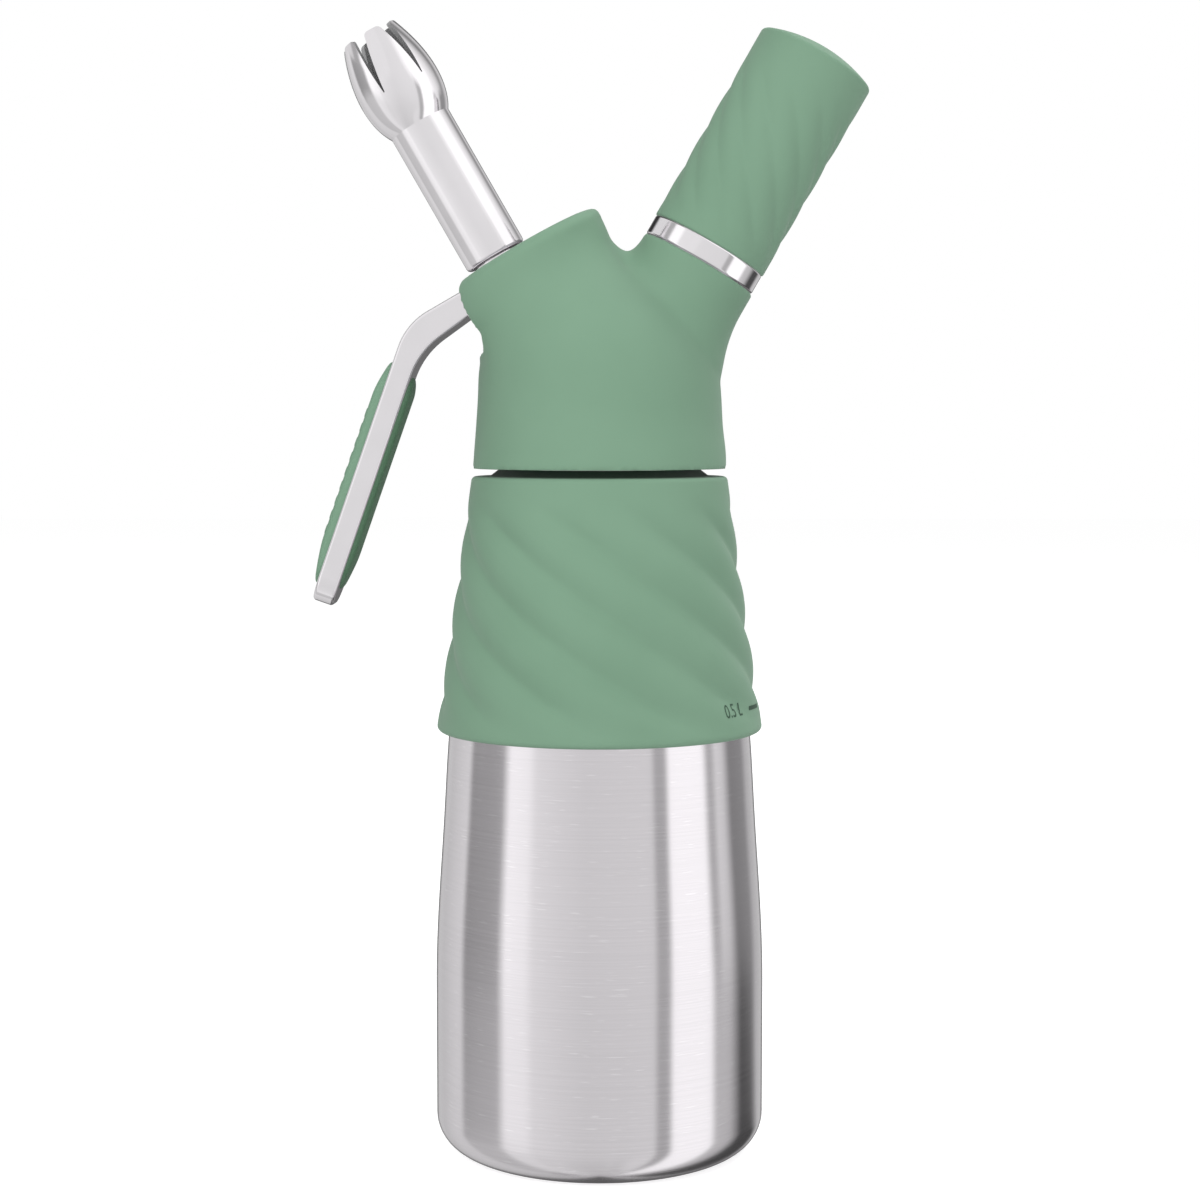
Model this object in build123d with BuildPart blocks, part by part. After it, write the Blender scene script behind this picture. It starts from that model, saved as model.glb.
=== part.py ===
from build123d import *
from math import cos, pi, radians, sin
import os

os.makedirs("parts", exist_ok=True)

# Driving dimensions in millimetres and degrees. Z is up and the bottle stands on Z = 0.
# Two slanted axes cross the upright axis at hub_height: the nozzle axis leans to -X and
# the charger axis leans to +X. "Level" is a place along such an axis, counted from the hub.

# How far a cutter passes the face that it opens
overcut = 1.0

# Bottle
bottle_radius = 40.5
bottle_wall = 0.8
bottle_corner = 9.0
straight_top = 42.0
flank_radius, flank_height = 38.3, 85.0
neck_radius = 24.5
neck_wall = 1.6
neck_foot = 167.0
rim_height = 185.0

# Thread between bottle and head
bottle_pitch = 5.0
bottle_thread_depth = 1.3
bottle_thread_width = 2.4
bottle_thread_turns = 1.25
bottle_thread_start = 172.6
thread_clearance = 0.25
thread_runout = 0.1

# Sleeve
sleeve_foot_height = 104.3
sleeve_foot_radius = 40.0
sleeve_top_height = 166.7
sleeve_top_radius = 31.5
sleeve_edge = 1.2
sleeve_lip_radius = 26.9
sleeve_lip_rise = 1.3
# The bottle under the sleeve: parts of the sleeve's height, and the sleeve's wall there
line_part, line_wall = 0.075, 2.76
chest_part, chest_wall = 0.54, 3.0
shoulder_part, shoulder_wall = 0.845, 4.6
skin_fit = 0.05

# Head form
hub_height = 176.5
axis_lean = 30.0
head_foot_height = 168.6
head_foot_radius = 31.0
head_mid_height = 178.0
head_mid_radius = 30.3
waist_height = 187.5
waist_radius = 29.7
cover_wall = 2.0
foot_lift = 0.4
boss_face = 48.9
boss_reach_left = 13.4
boss_reach_right = 27.5
boss_spread = 1.6
boss_root_left = 36.0
boss_root_right = 34.0
boss_edge = 2.4
left_bow = 7.5
right_bow = 19.5
arm_face = 48.3
arm_radius = 15.1
arm_straight = 43.0
# Radius and level of the arm's flare, where it runs out into the head
arm_flare = [(15.55, 37.5), (16.6, 33.0), (18.1, 28.6), (19.6, 24.0)]
valley_radius = 5.0
gasket_thickness = 1.95
gasket_width = 3.4
gasket_fit = 0.05
seal_play = 0.05
pin_fit = 0.02

# Lever
lever_width = 19.0
lever_outer = 46.75
lever_inner = 40.7
lever_inner_left = -13.0
lever_corner = -26.85
lever_bend_level = 39.2
lever_bend = 40.6
lever_length = 70.9
lever_thickness = 5.25
lever_end = 6.5
lever_edge = 0.8
bend_radius_out = 16.0
bend_radius_in = 20.0
pivot_across = 12.0
pivot_level = 38.6
tine_thickness = 4.8
tine_left = -9.0
tine_slope = 0.9
pin_radius = 1.25
pin_length = 31.0
pivot_clearance = 0.06
fork_gap = 7.0
fork_root = -5.2
slot_bottom = 31.9
slot_clearance = 0.6
slot_corner = 2.5
cavity_floor = 30.2
cavity_top = 41.4
cavity_left = -12.5
cavity_right = 15.6
jog_across = -9.6

# Lever pad, measured along the lever from its outer corner
window_start = 18.0
window_length = 36.0
window_width = 7.0
pad_start = 9.8
pad_length = 57.0
pad_width = 17.4
pad_rise = 2.7
pad_corner = 6.0
pad_edge = 2.2
inner_pad_start = 11.8
inner_pad_length = 54.6
inner_pad_width = 17.0
inner_pad_rise = 1.4
inner_pad_edge = 0.6

# Valve
seat_level = 18.0
seat_pocket_depth = 12.0
seat_pocket_radius = 7.5
seat_bore_radius = 4.4
seat_bore_length = 4.5
guide_length = 3.5
stem_radius = 3.0
stem_upper_radius = 2.4
stem_top = 50.0
stem_bore_radius = 1.5
stem_hole_radius = 1.2
stem_hole_level = 21.0
running_fit = 0.05
disc_radius = 6.5
disc_thickness = 2.4
disc_boss_radius = 4.5
disc_boss_rise = 1.0
seal_thickness = 1.85
ring_wire = 0.47
ring_fit = 0.01
lower_ring_level = 24.2
groove_width = 1.1
spring_pocket_radius = 5.4
spring_radius = 4.2
spring_wire = 0.45
spring_turns = 4.0
collar_radius = 5.0
collar_thickness = 1.6
clip_radius = 3.3
clip_thickness = 0.8
clip_depth = 0.4
clip_opening = 3.0
lever_play = 0.1

# Nozzle adapter and decorator tip
adapter_plug_radius = 6.5
adapter_flange_radius = 8.0
adapter_flange_thickness = 2.6
adapter_root_radius = 5.5
adapter_top = 57.5
adapter_mouth_radius = 3.2
adapter_mouth_depth = 5.5
upper_ring_level = 44.0
cover_hole_gap = 0.3
tip_pitch = 2.0
tip_thread_depth = 0.75
tip_thread_width = 1.0
tip_thread_turns = 1.5
tip_thread_start = 52.3
tip_foot = 50.2
tip_radius = 7.85
tip_edge = 1.0
tip_seal_thickness = 1.2
tip_bore_radius = 5.2
tip_wall = 1.5
bulb_start = 87.0
bulb_flank_radius, bulb_flank_level = 9.3, 90.0
bulb_radius, bulb_level = 10.4, 97.0
bulb_top_radius, bulb_top_level = 9.6, 104.0
mouth_radius, mouth_level = 7.2, 111.6
petals = 6
petal_turn = -20.0
petal_slot_level = 96.6
petal_slot_width = 3.4
petal_slot_root = 0.3
petal_corner = 1.0

# Charger side
nipple_root_radius = 10.6
nipple_top = 60.0
nipple_bore_radius = 9.4
holder_pitch = 3.0
holder_thread_depth = 0.75
holder_thread_width = 1.4
holder_thread_turns = 1.5
holder_thread_start = 51.5
holder_foot = 48.5
ring_radius = 14.8
ring_height = 4.8
ring_edge = 0.4
cup_radius = 12.6
cup_end = 105.0
cup_wall = 1.2
cup_edge = 1.5
grip_radius = 15.2
grip_gap = 0.15
grip_rim = 106.1
grip_dome = 3.2
grip_edge = 1.6
charger_length = 65.4
charger_radius = 9.05
charger_neck_radius = 4.4
charger_neck_length = 8.5
charger_shoulder = 9.0
charger_wall = 1.3
charger_tail_gap = 0.1
charger_hole_radius = 1.2
charger_clearance = 0.5
charger_seal_thickness = 1.35
needle_radius = 0.9
needle_length = 3.8
needle_point = 0.9
pin_body_radius = 3.0
pin_body_length = 8.0
gas_hole_radius = 0.4
filter_thickness = 1.5
gas_bore_radius = 1.4
check_pocket_radius = 3.2
check_pocket_start = 10.0
check_pocket_top = 19.0
check_disc_thickness = 1.3
check_lip_length = 3.6
check_lip_radius = 2.2
check_slit = 0.4

# Axes and planes worked out from the sizes above
lean = radians(axis_lean)
hub = Vector(0, 0, hub_height)
nozzle_dir = Vector(-sin(lean), 0, cos(lean))
nozzle_side = Vector(cos(lean), 0, sin(lean))
charger_dir = Vector(sin(lean), 0, cos(lean))
charger_side = Vector(cos(lean), 0, -sin(lean))
nozzle_axis = Axis(hub, nozzle_dir)
charger_axis = Axis(hub, charger_dir)
nozzle_plane = Plane(origin=hub, x_dir=nozzle_side, z_dir=nozzle_dir)
charger_plane = Plane(origin=hub, x_dir=charger_side, z_dir=charger_dir)
# Section planes: x runs across the slanted axis and y runs along it.
nozzle_section = Plane(origin=hub, x_dir=nozzle_side, z_dir=(0, -1, 0))
charger_section = Plane(origin=hub, x_dir=charger_side, z_dir=(0, -1, 0))


def under_cone(part, wall):
    """Radius and height of a point inside the sleeve, this part of the way up and this deep."""
    height = sleeve_foot_height + part * (sleeve_top_height - sleeve_foot_height)
    radius = sleeve_foot_radius + part * (sleeve_top_radius - sleeve_foot_radius) - wall
    return radius, height


line_radius, line_height = under_cone(line_part, line_wall)
chest_radius, chest_height = under_cone(chest_part, chest_wall)
shoulder_radius, shoulder_height = under_cone(shoulder_part, shoulder_wall)


def outline(plane, *points):
    """A closed outline of straight lines on the plane."""
    with BuildSketch(plane) as shape:
        with BuildLine():
            Polyline(*points, close=True)
        make_face()
    return shape.sketch


def ring(plane, axis, radius, level, wire):
    """A round rubber ring: its centre line has this radius and lies at this level."""
    with BuildPart() as torus:
        with BuildSketch(plane):
            with Locations((radius, level)):
                Circle(wire)
        revolve(axis=axis)
    return torus.part


def helical_rib(radius, depth, width, pitch, turns, start, spare=0.0):
    """A thread rib round Z on a cylinder of this radius; start is the height of its first middle."""
    bury = 0.6
    foot = width / 2 + spare
    crest = width / 4 + spare
    with BuildPart() as rib:
        with BuildLine() as path:
            Helix(pitch, pitch * turns, radius, center=(0, 0, start))
        with BuildSketch(Plane(origin=path.line @ 0, x_dir=(1, 0, 0), z_dir=(0, -1, 0))):
            with BuildLine():
                Polyline(
                    (-bury, -foot),
                    (0, -foot),
                    (depth, -crest),
                    (depth, crest),
                    (0, foot),
                    (-bury, foot),
                    close=True,
                )
            make_face()
        sweep(path=path.line, is_frenet=True)
    return rib.part


def bottle_face(inset, neck):
    """Right half of the bottle's body up to the rim, drawn in by inset."""
    arc_middle = (bottle_radius - bottle_corner, bottle_corner)
    with BuildSketch(Plane.XZ) as shape:
        with BuildLine():
            floor = Line((0, inset), (bottle_radius - bottle_corner, inset))
            corner = CenterArc(arc_middle, bottle_corner - inset, -90, 90)
            side = Line(corner @ 1, (bottle_radius - inset, straight_top))
            draw = Spline(
                side @ 1,
                (flank_radius - inset, flank_height),
                (line_radius - inset, line_height),
                (chest_radius - inset, chest_height),
                (shoulder_radius - inset, shoulder_height),
                (neck, neck_foot),
                tangents=[(0, 1), (0, 1)],
            )
            Polyline(draw @ 1, (neck, rim_height), (0, rim_height), floor @ 0)
        make_face()
    return shape.sketch


# Bottle: one drawn shell with a thicker neck and its thread outside
neck_bore = neck_radius - neck_wall
with BuildPart() as bottle:
    revolve(bottle_face(0, neck_radius), axis=Axis.Z)
    revolve(bottle_face(bottle_wall, neck_bore), axis=Axis.Z, mode=Mode.SUBTRACT)
    add(
        helical_rib(
            neck_radius,
            bottle_thread_depth,
            bottle_thread_width,
            bottle_pitch,
            bottle_thread_turns,
            bottle_thread_start,
        )
    )
bottle.part.label = "bottle"
export_step(bottle.part, "parts/bottle.step")

# Sleeve: a cone outside, the bottle's own shape inside, and a lip that rises to the neck
with BuildPart() as bottle_sleeve:
    with BuildSketch(Plane.XZ) as sleeve_face:
        with BuildLine():
            Polyline(
                (0, sleeve_foot_height),
                (sleeve_foot_radius, sleeve_foot_height),
                (sleeve_top_radius, sleeve_top_height),
                (sleeve_lip_radius, sleeve_top_height),
                (neck_radius, sleeve_top_height + sleeve_lip_rise),
                (0, sleeve_top_height + sleeve_lip_rise),
                close=True,
            )
        make_face()
        outer_corners = sleeve_face.vertices().filter_by(lambda v: v.X > sleeve_lip_radius + sleeve_edge)
        fillet(outer_corners, radius=sleeve_edge)
    revolve(axis=Axis.Z)
    revolve(bottle_face(-skin_fit, neck_radius + skin_fit), axis=Axis.Z, mode=Mode.SUBTRACT)
bottle_sleeve.part.label = "bottle_sleeve"
export_step(bottle_sleeve.part, "parts/bottle_sleeve.step")


# Head form: the body bends from upright to the nozzle axis, and the arm stands on the charger axis
def nozzle_point(across, level):
    """World X and Z of a point given in the nozzle section."""
    point = hub + nozzle_side * across + nozzle_dir * level
    return point.X, point.Z


def bow(start, control, end, part):
    """The point at this part of the way along a curve from start to end, drawn towards control."""
    rest = 1 - part
    x = rest * rest * start[0] + 2 * rest * part * control[0] + part * part * end[0]
    z = rest * rest * start[1] + 2 * rest * part * control[1] + part * part * end[1]
    return x, z


def head_form(skin):
    """The head's outer shape, drawn in by skin, as one solid with its foot at head_foot_height."""
    waist_left = (-waist_radius, waist_height)
    waist_right = (waist_radius, waist_height)
    left_root = nozzle_point(-boss_reach_left - boss_spread, boss_root_left)
    right_root = nozzle_point(boss_reach_right, boss_root_right)
    left_control = (-waist_radius, waist_height + left_bow)
    right_control = (waist_radius, waist_height + right_bow)
    pairs = [
        ((-head_foot_radius, head_foot_height), (head_foot_radius, head_foot_height)),
        ((-head_mid_radius, head_mid_height), (head_mid_radius, head_mid_height)),
        (waist_left, waist_right),
    ]
    for part in (0.33, 0.67, 1.0):
        left = bow(waist_left, left_control, left_root, part)
        right = bow(waist_right, right_control, right_root, part)
        pairs.append((left, right))
    face_left = nozzle_point(-boss_reach_left, boss_face - skin)
    face_right = nozzle_point(boss_reach_right, boss_face - skin)
    pairs.append((face_left, face_right))
    with BuildPart() as form:
        for left, right in pairs:
            middle = Vector((left[0] + right[0]) / 2, 0, (left[1] + right[1]) / 2)
            across = Vector(right[0] - left[0], 0, right[1] - left[1])
            level = Plane(origin=middle, x_dir=across, z_dir=across.cross(Vector(0, 1, 0)))
            with BuildSketch(level):
                Circle(across.length / 2 - skin)
        loft()
        fillet(form.faces().sort_by(nozzle_axis)[-1].edges(), radius=boss_edge)
        with BuildSketch(charger_section):
            with BuildLine():
                side = Line((arm_radius - skin, arm_face - skin), (arm_radius - skin, arm_straight))
                flare = Spline(
                    side @ 1,
                    *[(radius - skin, level) for radius, level in arm_flare],
                    tangents=[(0, -1), (0.33, -1)],
                )
                Polyline(flare @ 1, (0, arm_flare[-1][1]), (0, arm_face - skin), side @ 0)
            make_face()
        revolve(axis=charger_axis)
        crossing = form.edges().filter_by(lambda edge: not edge.is_closed and edge.bounding_box().size.Y > 1)
        fillet(crossing, radius=valley_radius + skin)
    return form.part


# Head body: the metal head inside the cover
gasket_top = rim_height + gasket_fit + gasket_thickness
head_bore = neck_radius + thread_clearance
metal_skin = cover_wall + skin_fit
metal_face = boss_face - metal_skin
arm_seat = arm_face - metal_skin
slot_width = lever_width + 2 * slot_clearance
slot_top = lever_outer + slot_clearance
guide_start = seat_level + seat_bore_length
spring_seat = guide_start + guide_length
charger_mouth = cup_end - cup_wall - charger_tail_gap - charger_length
neck_end = charger_mouth + charger_neck_length
charger_seal_seat = charger_mouth - charger_seal_thickness - 2 * seal_play
pin_seat = charger_seal_seat - pin_body_length
filter_seat = pin_seat - filter_thickness - 2 * seal_play
neck_bore_radius = charger_neck_radius + charger_clearance
mouth_plane = Plane(origin=hub + nozzle_side * jog_across, x_dir=(0, -1, 0), z_dir=-nozzle_side)


def lever_mouth():
    """The slot in the head's left side, where the lever comes out."""
    with BuildPart() as mouth:
        with BuildSketch(mouth_plane):
            with Locations((0, (slot_bottom + slot_top) / 2)):
                RectangleRounded(slot_width, slot_top - slot_bottom, slot_corner)
        extrude(amount=head_foot_radius)
    return mouth.part


def open_thread(plane, radius, depth, width, pitch, turns, start, foot):
    """The cutter for a female thread that meets the rib at start and runs out at the foot."""
    lead = int((start - foot) / pitch) + 1
    cutter = helical_rib(
        radius,
        depth + thread_clearance,
        width,
        pitch,
        turns + lead + thread_runout,
        start - lead * pitch,
        thread_clearance,
    )
    return plane.location * cutter


with BuildPart() as head_body:
    add(head_form(metal_skin))
    with BuildSketch(Plane.XY.offset(head_foot_height)):
        Circle(head_foot_radius)
    extrude(amount=foot_lift, mode=Mode.SUBTRACT)
    # Charger nipple and its thread
    with BuildSketch(charger_plane.offset(arm_seat - overcut)):
        Circle(nipple_root_radius)
    extrude(amount=nipple_top - arm_seat + overcut)
    nipple_rib = helical_rib(
        nipple_root_radius,
        holder_thread_depth,
        holder_thread_width,
        holder_pitch,
        holder_thread_turns,
        holder_thread_start,
    )
    add(charger_plane.location * nipple_rib)
    # Bottle bore with its thread groove
    with BuildSketch(Plane.XY.offset(head_foot_height)):
        Circle(head_bore)
    extrude(amount=gasket_top - head_foot_height, mode=Mode.SUBTRACT)
    bottle_groove = open_thread(
        Plane.XY,
        neck_radius,
        bottle_thread_depth,
        bottle_thread_width,
        bottle_pitch,
        bottle_thread_turns,
        bottle_thread_start,
        head_foot_height,
    )
    add(bottle_groove, mode=Mode.SUBTRACT)
    # Valve bore: seat pocket, seat, guide and spring pocket
    valve_bore = outline(
        nozzle_section,
        (0, seat_level - seat_pocket_depth),
        (seat_pocket_radius, seat_level - seat_pocket_depth),
        (seat_pocket_radius, seat_level),
        (seat_bore_radius, seat_level),
        (seat_bore_radius, guide_start),
        (stem_radius + running_fit, guide_start),
        (stem_radius + running_fit, spring_seat),
        (spring_pocket_radius, spring_seat),
        (spring_pocket_radius, cavity_floor + overcut),
        (0, cavity_floor + overcut),
    )
    revolve(valve_bore, axis=nozzle_axis, mode=Mode.SUBTRACT)
    # Lever cavity, its mouth, the hole for the adapter and the hole for the pin
    cavity = outline(
        nozzle_section,
        (cavity_left, cavity_floor),
        (cavity_right, cavity_floor),
        (cavity_right, cavity_top),
        (cavity_left, cavity_top),
    )
    extrude(cavity, amount=slot_width / 2, both=True, mode=Mode.SUBTRACT)
    add(lever_mouth(), mode=Mode.SUBTRACT)
    with BuildSketch(nozzle_plane.offset(cavity_top - overcut)):
        Circle(adapter_plug_radius + skin_fit)
    extrude(amount=boss_face - cavity_top + overcut, mode=Mode.SUBTRACT)
    with BuildSketch(nozzle_section):
        with Locations((pivot_across, pivot_level)):
            Circle(pin_radius + pin_fit)
    extrude(amount=head_foot_radius, both=True, mode=Mode.SUBTRACT)
    # Gas way: check valve pocket, gas bore, needle seat, charger neck and nipple bore
    gas_way = outline(
        charger_section,
        (0, check_pocket_start),
        (check_pocket_radius, check_pocket_start),
        (check_pocket_radius, check_pocket_top),
        (gas_bore_radius, check_pocket_top),
        (gas_bore_radius, filter_seat),
        (pin_body_radius + skin_fit, filter_seat),
        (pin_body_radius + skin_fit, charger_seal_seat),
        (neck_bore_radius, charger_seal_seat),
        (neck_bore_radius, neck_end - charger_clearance),
        (nipple_bore_radius, neck_end + charger_shoulder - 3 * charger_clearance),
        (nipple_bore_radius, nipple_top + overcut),
        (0, nipple_top + overcut),
    )
    revolve(gas_way, axis=charger_axis, mode=Mode.SUBTRACT)
head_body.part.label = "head_body"
export_step(head_body.part, "parts/head_body.step")

# Head cover: a soft skin of even wall, open at the foot, the tip, the nipple and the lever
with BuildPart() as head_cover:
    add(head_form(0))
    add(head_form(cover_wall), mode=Mode.SUBTRACT)
    with BuildSketch(nozzle_plane.offset(metal_face - overcut)):
        Circle(adapter_flange_radius + cover_hole_gap)
    extrude(amount=metal_skin + 2 * overcut, mode=Mode.SUBTRACT)
    with BuildSketch(charger_plane.offset(arm_seat - overcut)):
        Circle(nipple_root_radius + holder_thread_depth + cover_hole_gap)
    extrude(amount=metal_skin + 2 * overcut, mode=Mode.SUBTRACT)
    add(lever_mouth(), mode=Mode.SUBTRACT)
head_cover.part.label = "head_cover"
export_step(head_cover.part, "parts/head_cover.step")

# Head gasket: a flat ring on the bottle's rim
with BuildPart() as head_gasket:
    with BuildSketch(Plane.XY.offset(rim_height + gasket_fit)):
        Circle(neck_radius)
        Circle(neck_radius - gasket_width, mode=Mode.SUBTRACT)
    extrude(amount=gasket_thickness)
head_gasket.part.label = "head_gasket"
export_step(head_gasket.part, "parts/head_gasket.step")

# Lever: a side outline in the nozzle section, from the fork's eye to the tongue
bend = radians(lever_bend)
run_across, run_along = -cos(bend), -sin(bend)
in_across, in_along = sin(bend), -cos(bend)
outer_corner = (lever_corner, lever_outer)
outer_end = (lever_corner + lever_length * run_across, lever_outer + lever_length * run_along)
inner_end = (outer_end[0] + lever_thickness * in_across, outer_end[1] + lever_thickness * in_along)
inner_run = (lever_bend_level - inner_end[1]) / run_along
inner_corner = (inner_end[0] + inner_run * run_across, lever_bend_level)
tine_bottom = pivot_level - tine_thickness / 2
tine_top = pivot_level + tine_thickness / 2
lever_run = nozzle_side * run_across + nozzle_dir * run_along
lever_out = -(nozzle_side * in_across + nozzle_dir * in_along)
lever_start = hub + nozzle_side * lever_corner + nozzle_dir * lever_outer
# On this plane x runs down the lever from its outer corner, and the normal leaves its outer face.
lever_plane = Plane(origin=lever_start, x_dir=lever_run, z_dir=lever_out)

with BuildPart() as lever:
    with BuildSketch(nozzle_section) as lever_face:
        with BuildLine():
            Polyline(
                (pivot_across, tine_top),
                (tine_left - tine_slope, tine_top),
                (tine_left - 2 * tine_slope, lever_outer),
                outer_corner,
                outer_end,
                inner_end,
                inner_corner,
                (lever_inner_left, lever_inner),
                (tine_left, tine_bottom),
                (pivot_across, tine_bottom),
                close=True,
            )
        make_face()
        fillet(lever_face.vertices().sort_by_distance(outer_corner)[0], radius=bend_radius_out)
        fillet(lever_face.vertices().sort_by_distance(inner_corner)[0], radius=bend_radius_in)
        with Locations((pivot_across, pivot_level)):
            Circle(tine_thickness / 2)
    extrude(amount=lever_width / 2, both=True)
    fillet(lever.edges().filter_by(Axis(lever_start, lever_out)), radius=lever_end)
    sides = lever.faces().filter_by(Axis.Y).sort_by(Axis.Y)
    fillet(sides[0].edges() + sides[-1].edges(), radius=lever_edge)
    # Fork, pin hole and window
    fork = outline(
        nozzle_section,
        (fork_root, tine_bottom - overcut),
        (pivot_across + tine_thickness, tine_bottom - overcut),
        (pivot_across + tine_thickness, tine_top + overcut),
        (fork_root, tine_top + overcut),
    )
    extrude(fork, amount=fork_gap / 2, both=True, mode=Mode.SUBTRACT)
    with BuildSketch(nozzle_section):
        with Locations((pivot_across, pivot_level)):
            Circle(pin_radius + pivot_clearance)
    extrude(amount=lever_width, both=True, mode=Mode.SUBTRACT)
    with BuildSketch(lever_plane):
        with Locations((window_start + window_length / 2, 0)):
            SlotOverall(window_length, window_width)
    extrude(amount=-2 * lever_thickness, mode=Mode.SUBTRACT)
lever.part.label = "lever"
export_step(lever.part, "parts/lever.step")

# Lever pad: two cushions joined through the window
with BuildPart() as lever_pad:
    with BuildSketch(lever_plane):
        with Locations((window_start + window_length / 2, 0)):
            SlotOverall(window_length - 2 * skin_fit, window_width - 2 * skin_fit)
    extrude(amount=-lever_thickness)
    with BuildSketch(lever_plane):
        with Locations((pad_start + pad_length / 2, 0)):
            RectangleRounded(pad_length, pad_width, pad_corner)
    extrude(amount=pad_rise)
    fillet(lever_pad.edges().group_by(Axis(lever_start, lever_out))[-1], radius=pad_edge)
    with BuildSketch(lever_plane.offset(-lever_thickness)):
        with Locations((inner_pad_start + inner_pad_length / 2, 0)):
            RectangleRounded(inner_pad_length, inner_pad_width, pad_corner)
    extrude(amount=-inner_pad_rise)
    fillet(lever_pad.edges().group_by(Axis(lever_start, lever_out))[0], radius=inner_pad_edge)
lever_pad.part.label = "lever_pad"
export_step(lever_pad.part, "parts/lever_pad.step")

# Lever pin: a plain pin across the head
with BuildPart() as lever_pin:
    with BuildSketch(nozzle_section):
        with Locations((pivot_across, pivot_level)):
            Circle(pin_radius)
    extrude(amount=pin_length / 2, both=True)
lever_pin.part.label = "lever_pin"
export_step(lever_pin.part, "parts/lever_pin.step")

# Valve stem: disc, centring boss, guided stem with cross holes and an axial bore to its top
seal_bottom = seat_level - seal_play - seal_thickness
disc_top = seal_bottom - seal_play
stem_shoulder = tine_bottom - lever_play - collar_thickness
clip_start = stem_shoulder + collar_thickness + seal_play
clip_end = clip_start + clip_thickness
clip_root = stem_upper_radius - clip_depth
lower_ring_radius = stem_radius + running_fit - ring_fit - ring_wire
lower_groove = lower_ring_radius - ring_wire - ring_fit
upper_ring_radius = stem_upper_radius + ring_fit + ring_wire
upper_groove = upper_ring_radius + ring_wire + ring_fit
with BuildPart() as valve_stem:
    stem_face = outline(
        nozzle_section,
        (0, disc_top - disc_thickness),
        (disc_radius, disc_top - disc_thickness),
        (disc_radius, disc_top),
        (disc_boss_radius, disc_top),
        (disc_boss_radius, disc_top + disc_boss_rise),
        (stem_radius, disc_top + disc_boss_rise),
        (stem_radius, lower_ring_level - groove_width / 2),
        (lower_groove, lower_ring_level - groove_width / 2),
        (lower_groove, lower_ring_level + groove_width / 2),
        (stem_radius, lower_ring_level + groove_width / 2),
        (stem_radius, stem_shoulder),
        (stem_upper_radius, stem_shoulder),
        (stem_upper_radius, clip_start - seal_play),
        (clip_root, clip_start - seal_play),
        (clip_root, clip_end + seal_play),
        (stem_upper_radius, clip_end + seal_play),
        (stem_upper_radius, stem_top),
        (0, stem_top),
    )
    revolve(stem_face, axis=nozzle_axis)
    with BuildSketch(nozzle_plane.offset(stem_top)):
        Circle(stem_bore_radius)
    extrude(amount=stem_hole_level - stem_hole_radius - stem_top, mode=Mode.SUBTRACT)
    for hole_dir in (nozzle_side, Vector(0, 1, 0)):
        with BuildSketch(Plane(origin=hub + nozzle_dir * stem_hole_level, z_dir=hole_dir)):
            Circle(stem_hole_radius)
        extrude(amount=stem_radius + overcut, both=True, mode=Mode.SUBTRACT)
valve_stem.part.label = "valve_stem"
export_step(valve_stem.part, "parts/valve_stem.step")

with BuildPart() as valve_seal:
    with BuildSketch(nozzle_plane.offset(seal_bottom)):
        Circle(disc_radius - running_fit * 2)
        Circle(disc_boss_radius + running_fit * 2, mode=Mode.SUBTRACT)
    extrude(amount=seal_thickness)
valve_seal.part.label = "valve_seal"
export_step(valve_seal.part, "parts/valve_seal.step")

stem_lower_ring = ring(nozzle_section, nozzle_axis, lower_ring_radius, lower_ring_level, ring_wire)
stem_lower_ring.label = "stem_lower_ring"
export_step(stem_lower_ring, "parts/stem_lower_ring.step")

stem_upper_ring = ring(nozzle_section, nozzle_axis, upper_ring_radius, upper_ring_level, ring_wire)
stem_upper_ring.label = "stem_upper_ring"
export_step(stem_upper_ring, "parts/stem_upper_ring.step")

# Valve spring: a round wire coil between its pocket and the collar
spring_start = spring_seat + spring_wire + seal_play
spring_end = stem_shoulder - spring_wire - seal_play
with BuildPart() as spring_coil:
    with BuildLine() as spring_path:
        Helix((spring_end - spring_start) / spring_turns, spring_end - spring_start, spring_radius)
    with BuildSketch(Plane(origin=spring_path.line @ 0, x_dir=(1, 0, 0), z_dir=spring_path.line % 0)):
        Circle(spring_wire)
    sweep(path=spring_path.line, is_frenet=True)
with BuildPart() as valve_spring:
    add(nozzle_plane.offset(spring_start).location * spring_coil.part)
valve_spring.part.label = "valve_spring"
export_step(valve_spring.part, "parts/valve_spring.step")

with BuildPart() as stem_collar:
    with BuildSketch(nozzle_plane.offset(stem_shoulder)):
        Circle(collar_radius)
        Circle(stem_upper_radius + running_fit, mode=Mode.SUBTRACT)
    extrude(amount=collar_thickness)
stem_collar.part.label = "stem_collar"
export_step(stem_collar.part, "parts/stem_collar.step")

with BuildPart() as stem_clip:
    with BuildSketch(nozzle_plane.offset(clip_start)):
        Circle(clip_radius)
        Circle(clip_root + pin_fit, mode=Mode.SUBTRACT)
        with Locations((clip_radius, 0)):
            Rectangle(2 * clip_radius, clip_opening, mode=Mode.SUBTRACT)
    extrude(amount=clip_thickness)
stem_clip.part.label = "stem_clip"
export_step(stem_clip.part, "parts/stem_clip.step")

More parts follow.
